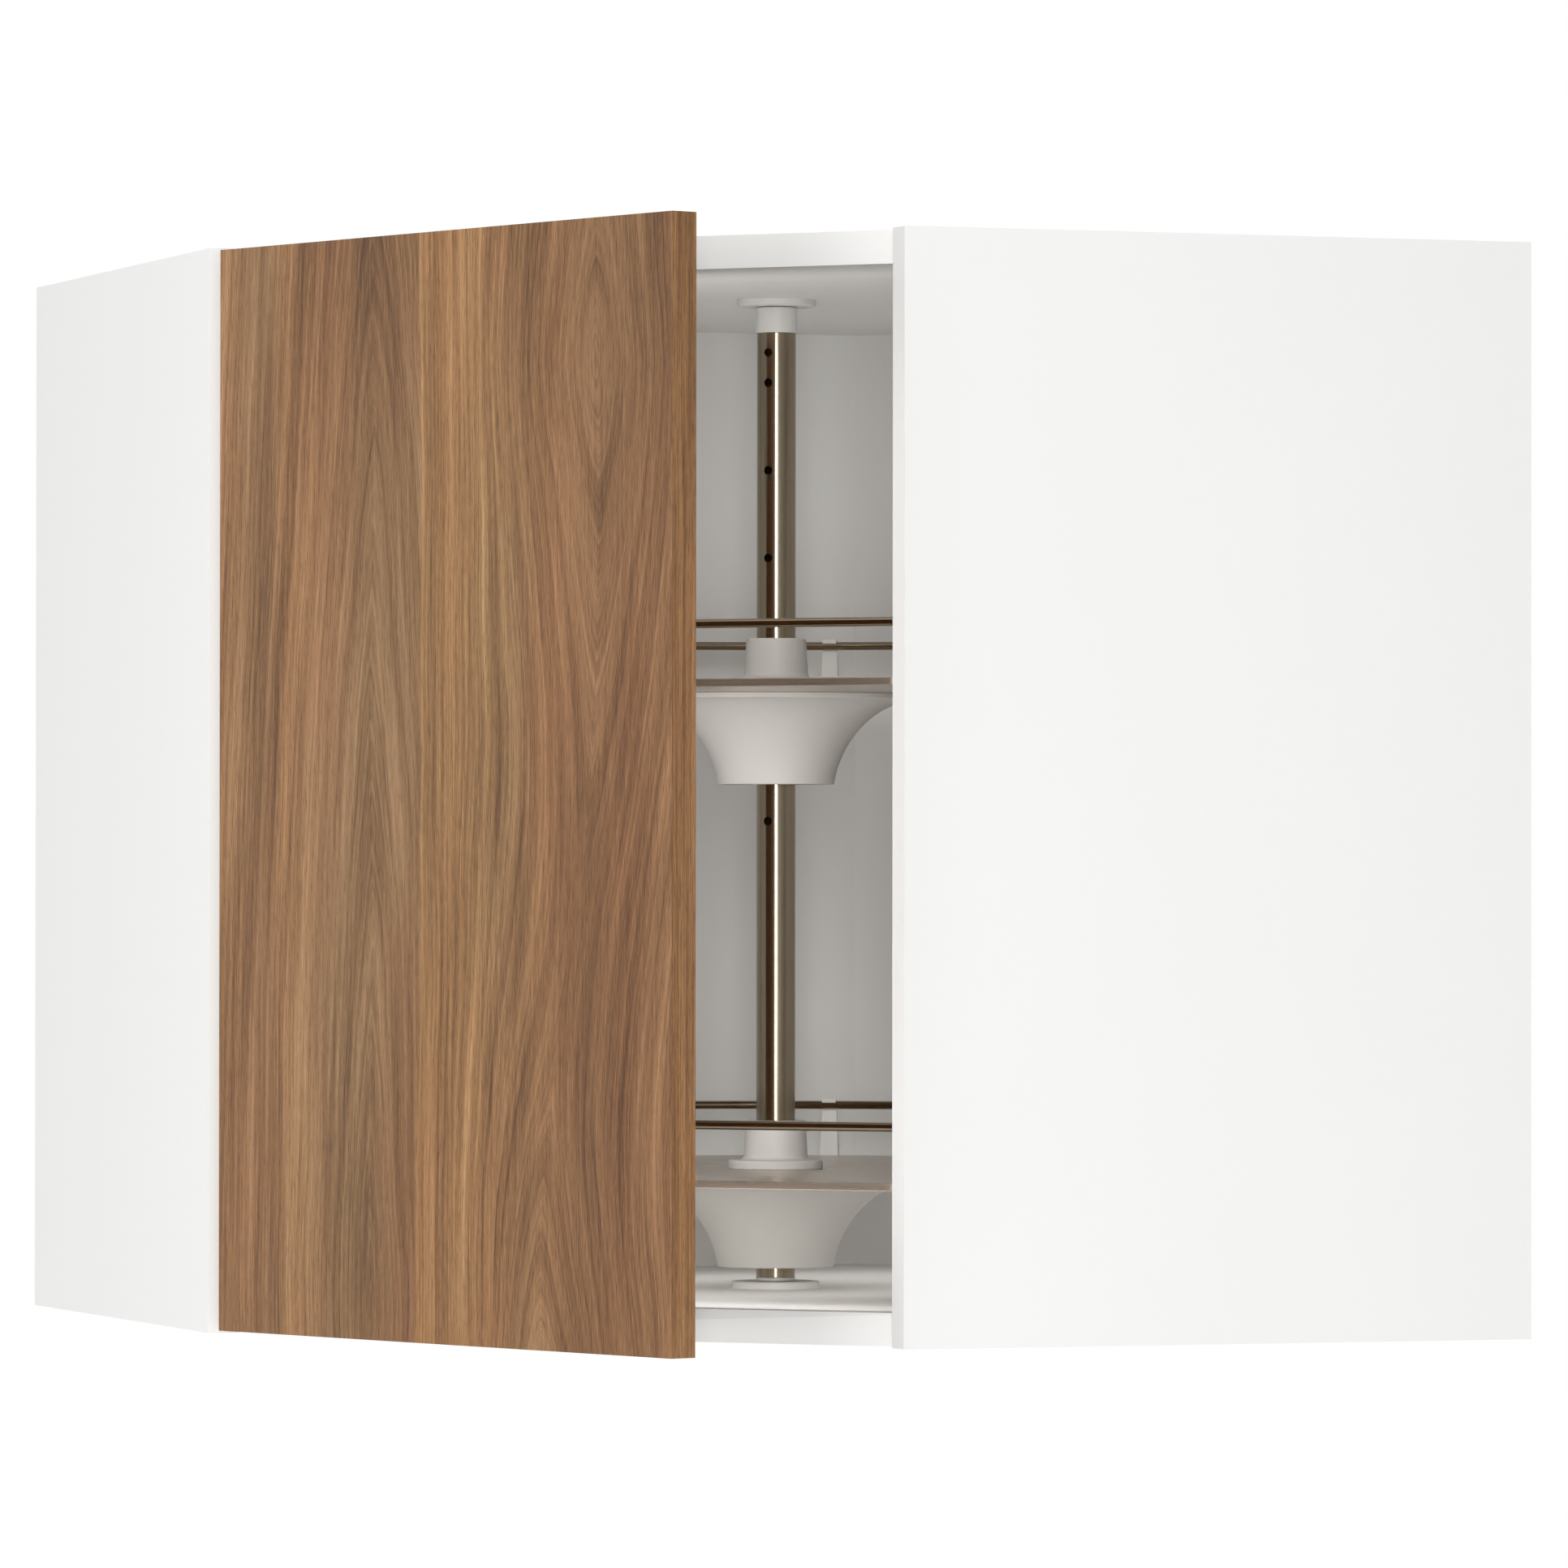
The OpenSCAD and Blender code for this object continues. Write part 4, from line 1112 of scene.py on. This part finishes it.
    def collar(self, level: Level, top: float) -> bpy.types.Object:
        """Collar above a shelf, with a filleted foot flange.

        Args:
            level: Which of the two levels.
            top: Height of the shelf's upper face, in metres.

        Returns:
            The new piece.
        """
        mesh = bmesh.new()
        side = self.collar_r + self.collar_draft
        flange_r, flange_t, h = self.collar_flange_r, self.collar_flange_t, self.collar_h
        fillet, edge, lip = self.collar_fillet, self.collar_flange_round, self.collar_round
        sleeve, pole = self.sleeve_r + self.fit, self.pole_r + self.fit
        profile = [(sleeve, self.fit), (flange_r - 0.3, self.fit), (flange_r, 0.35)]
        profile += arc((flange_r - edge, flange_t - edge), edge, 0, 80, 6)
        profile += arc((side + fillet, flange_t + fillet), fillet, 265, 184, 10)
        profile += arc((self.collar_r - lip, h - lip), lip, 3, 90, 6)
        profile += [(self.pole_r + 0.5, h), (pole, h - 0.4), (pole, h - self.collar_top_t),
                    (sleeve, h - self.collar_top_t)]
        turned(mesh, [(r * MM, top + z * MM) for r, z in profile])
        return piece(f"{level.value}_collar_cap", mesh, Palette.hub)

    def rail(self, level: Level, top: float) -> bpy.types.Object:
        """Round wire round a shelf, bent from one length.

        Args:
            level: Which of the two levels.
            top: Height of the shelf's upper face, in metres.

        Returns:
            The new piece.
        """
        mesh = bmesh.new()
        plan = (self.shelf_r, self.shelf_flat, self.shelf_corner)
        path = Outline(*((size - self.rail_inset) * MM for size in plan)).points()
        height = Vector((0, 0, top + self.rail_h * MM))
        turns = [math.tau * k / self.wire_sides for k in range(self.wire_sides)]
        rings = []
        for i, point in enumerate(path):
            tangent = (path[(i + 1) % len(path)] - path[i - 1]).normalized()
            out = Vector((tangent.y, -tangent.x, 0))
            section = [out * math.cos(a) + Vector((0, 0, math.sin(a))) for a in turns]
            rings.append([mesh.verts.new(point + height + self.wire_r * MM * p) for p in section])
        join_loops(mesh, rings)
        return piece(f"{level.value}_rail_wire", mesh, Palette.wire, 180.0)


# ---------- studio ----------


@dataclass(frozen=True)
class Lamp:
    """A soft box.

    Attributes:
        name: Name of the lamp.
        place: Where it stands, in metres.
        target: The point it faces.
        size: Width and height of its face.
        watts: Its power.
        glossy: Whether polished surfaces mirror it.
        spread_deg: Width of its beam.
    """

    name: str
    place: Point
    target: Point
    size: tuple[float, float]
    watts: float
    glossy: bool = True
    spread_deg: float = 180.0

    def build(self) -> None:
        """Sets the lamp up."""
        light = bpy.data.lights.new(self.name, "AREA")
        light.shape = "RECTANGLE"
        light.size, light.size_y = self.size
        light.energy = self.watts
        light.spread = math.radians(self.spread_deg)
        holder = bpy.data.objects.new(self.name, light)
        holder.location = self.place
        aim = Vector(self.target) - Vector(self.place)
        holder.rotation_euler = aim.to_track_quat("-Z", "Y").to_euler()
        holder.visible_glossy = self.glossy
        bpy.context.scene.collection.objects.link(holder)


MIDDLE = (0.0, -0.1, 0.3)
# The boxes stand round the cabinet. The fills stand just inside its opening, and the two skies
# lie level between the shelves' sheets and the decks, the lower facing down and the upper up.
LAMPS = (
    Lamp("front_box", (-1.55, -4.43, 0.60), (0.0, -0.1, 0.60), (0.45, 2.3), 61.0),
    Lamp("side_box", (-3.31, -2.69, 1.10), MIDDLE, (2.0, 2.0), 60.0),
    Lamp("low_box", (-2.90, -3.00, -0.30), (0.0, -0.1, 0.1), (1.6, 0.4), 24.0),
    Lamp("left_box", (-3.60, 0.50, 0.80), MIDDLE, (1.6, 1.6), 10.0),
    Lamp("top_box", (0.50, 0.50, 3.40), (0.1, 0.1, 0.6), (2.0, 2.0), 17.0),
    Lamp("rear_box", (3.20, 3.20, 1.20), MIDDLE, (2.2, 2.2), 60.0),
    Lamp("low_fill", (-0.175, -0.175, 0.050), (0.3, 0.3, 0.050), (0.36, 0.040), 0.12, False),
    Lamp("low_sky", (0.03, 0.03, 0.0785), (0.03, 0.03, 0.0), (0.34, 0.34), 0.25, False),
    Lamp("middle_fill", (-0.180, -0.180, 0.200), (0.3, 0.3, 0.200), (0.38, 0.20), 0.61, False),
    Lamp("upper_fill", (-0.175, -0.175, 0.450), (0.3, 0.3, 0.450), (0.36, 0.10), 0.25, False),
    Lamp("upper_sky", (0.05, 0.05, 0.400), (0.05, 0.05, 0.6), (0.34, 0.34), 0.14, False),
    Lamp("edge_fill", (-0.185, -0.205, 0.300), (-0.053, -0.345, 0.300), (0.02, 0.50), 0.09, False, 60.0),
)


@dataclass
class Studio:
    """Camera, soft light and pale surroundings."""

    eye: Point = (-1.79739, -5.03537, 0.24595)
    aim_deg: Point = (90.63887, -0.05763, -19.69371)
    lens: float = 214.951
    sensor: float = 36.0
    far: float = 60.0
    ambient: float = 0.40
    floor_z: float = -0.60
    floor_half: float = 2.4

    def build(self) -> None:
        """Sets up the camera, the world, the lamps and the floor."""
        scene = bpy.context.scene
        scene.view_settings.view_transform = "Standard"
        self.camera(scene)
        self.world(scene)
        for lamp in LAMPS:
            lamp.build()
        self.floor()

    def camera(self, scene: bpy.types.Scene) -> None:
        """Camera at the photograph's angle and distance.

        Args:
            scene: The scene.
        """
        camera = bpy.data.cameras.new("camera")
        camera.lens = self.lens
        camera.sensor_width = self.sensor
        camera.sensor_fit = "HORIZONTAL"
        camera.clip_end = self.far
        holder = bpy.data.objects.new("camera", camera)
        holder.location = self.eye
        holder.rotation_euler = [math.radians(a) for a in self.aim_deg]
        scene.collection.objects.link(holder)
        scene.camera = holder

    def world(self, scene: bpy.types.Scene) -> None:
        """White to the eye and in reflections, soft grey as a light.

        Args:
            scene: The scene.
        """
        world = bpy.data.worlds.new("studio_world")
        world.use_nodes = True
        world.node_tree.nodes.clear()
        desk = Desk(world.node_tree)
        path = desk.node("ShaderNodeLightPath")
        mirrored = desk.maths("MAXIMUM", path.outputs["Is Glossy Ray"],
                              path.outputs["Is Transmission Ray"])
        seen = desk.maths("MAXIMUM", path.outputs["Is Camera Ray"], mirrored)
        level = desk.blend(seen, self.ambient, 1.0)
        shade = desk.node("ShaderNodeBackground", {"Color": (1, 1, 1, 1), "Strength": level})
        out = desk.node("ShaderNodeOutputWorld")
        desk.tree.links.new(shade.outputs[0], out.inputs["Surface"])
        scene.world = world

    def floor(self) -> None:
        """Pale floor well below the hanging cabinet."""
        mesh = bmesh.new()
        bmesh.ops.create_grid(mesh, x_segments=2, y_segments=2, size=self.floor_half)
        bmesh.ops.translate(mesh, verts=mesh.verts, vec=(0, 0, self.floor_z))
        piece("floor", mesh, Palette.floor)


def main() -> None:
    """Builds every sub-assembly in order and reports it."""
    logging.basicConfig(level=logging.INFO, format="%(name)s: %(message)s")
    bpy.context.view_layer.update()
    for part in (Carcass(), Door(), Carousel(), Studio()):
        part.build()
        LOG.info("%s is ready", type(part).__name__)


if __name__ == "__main__":
    main()
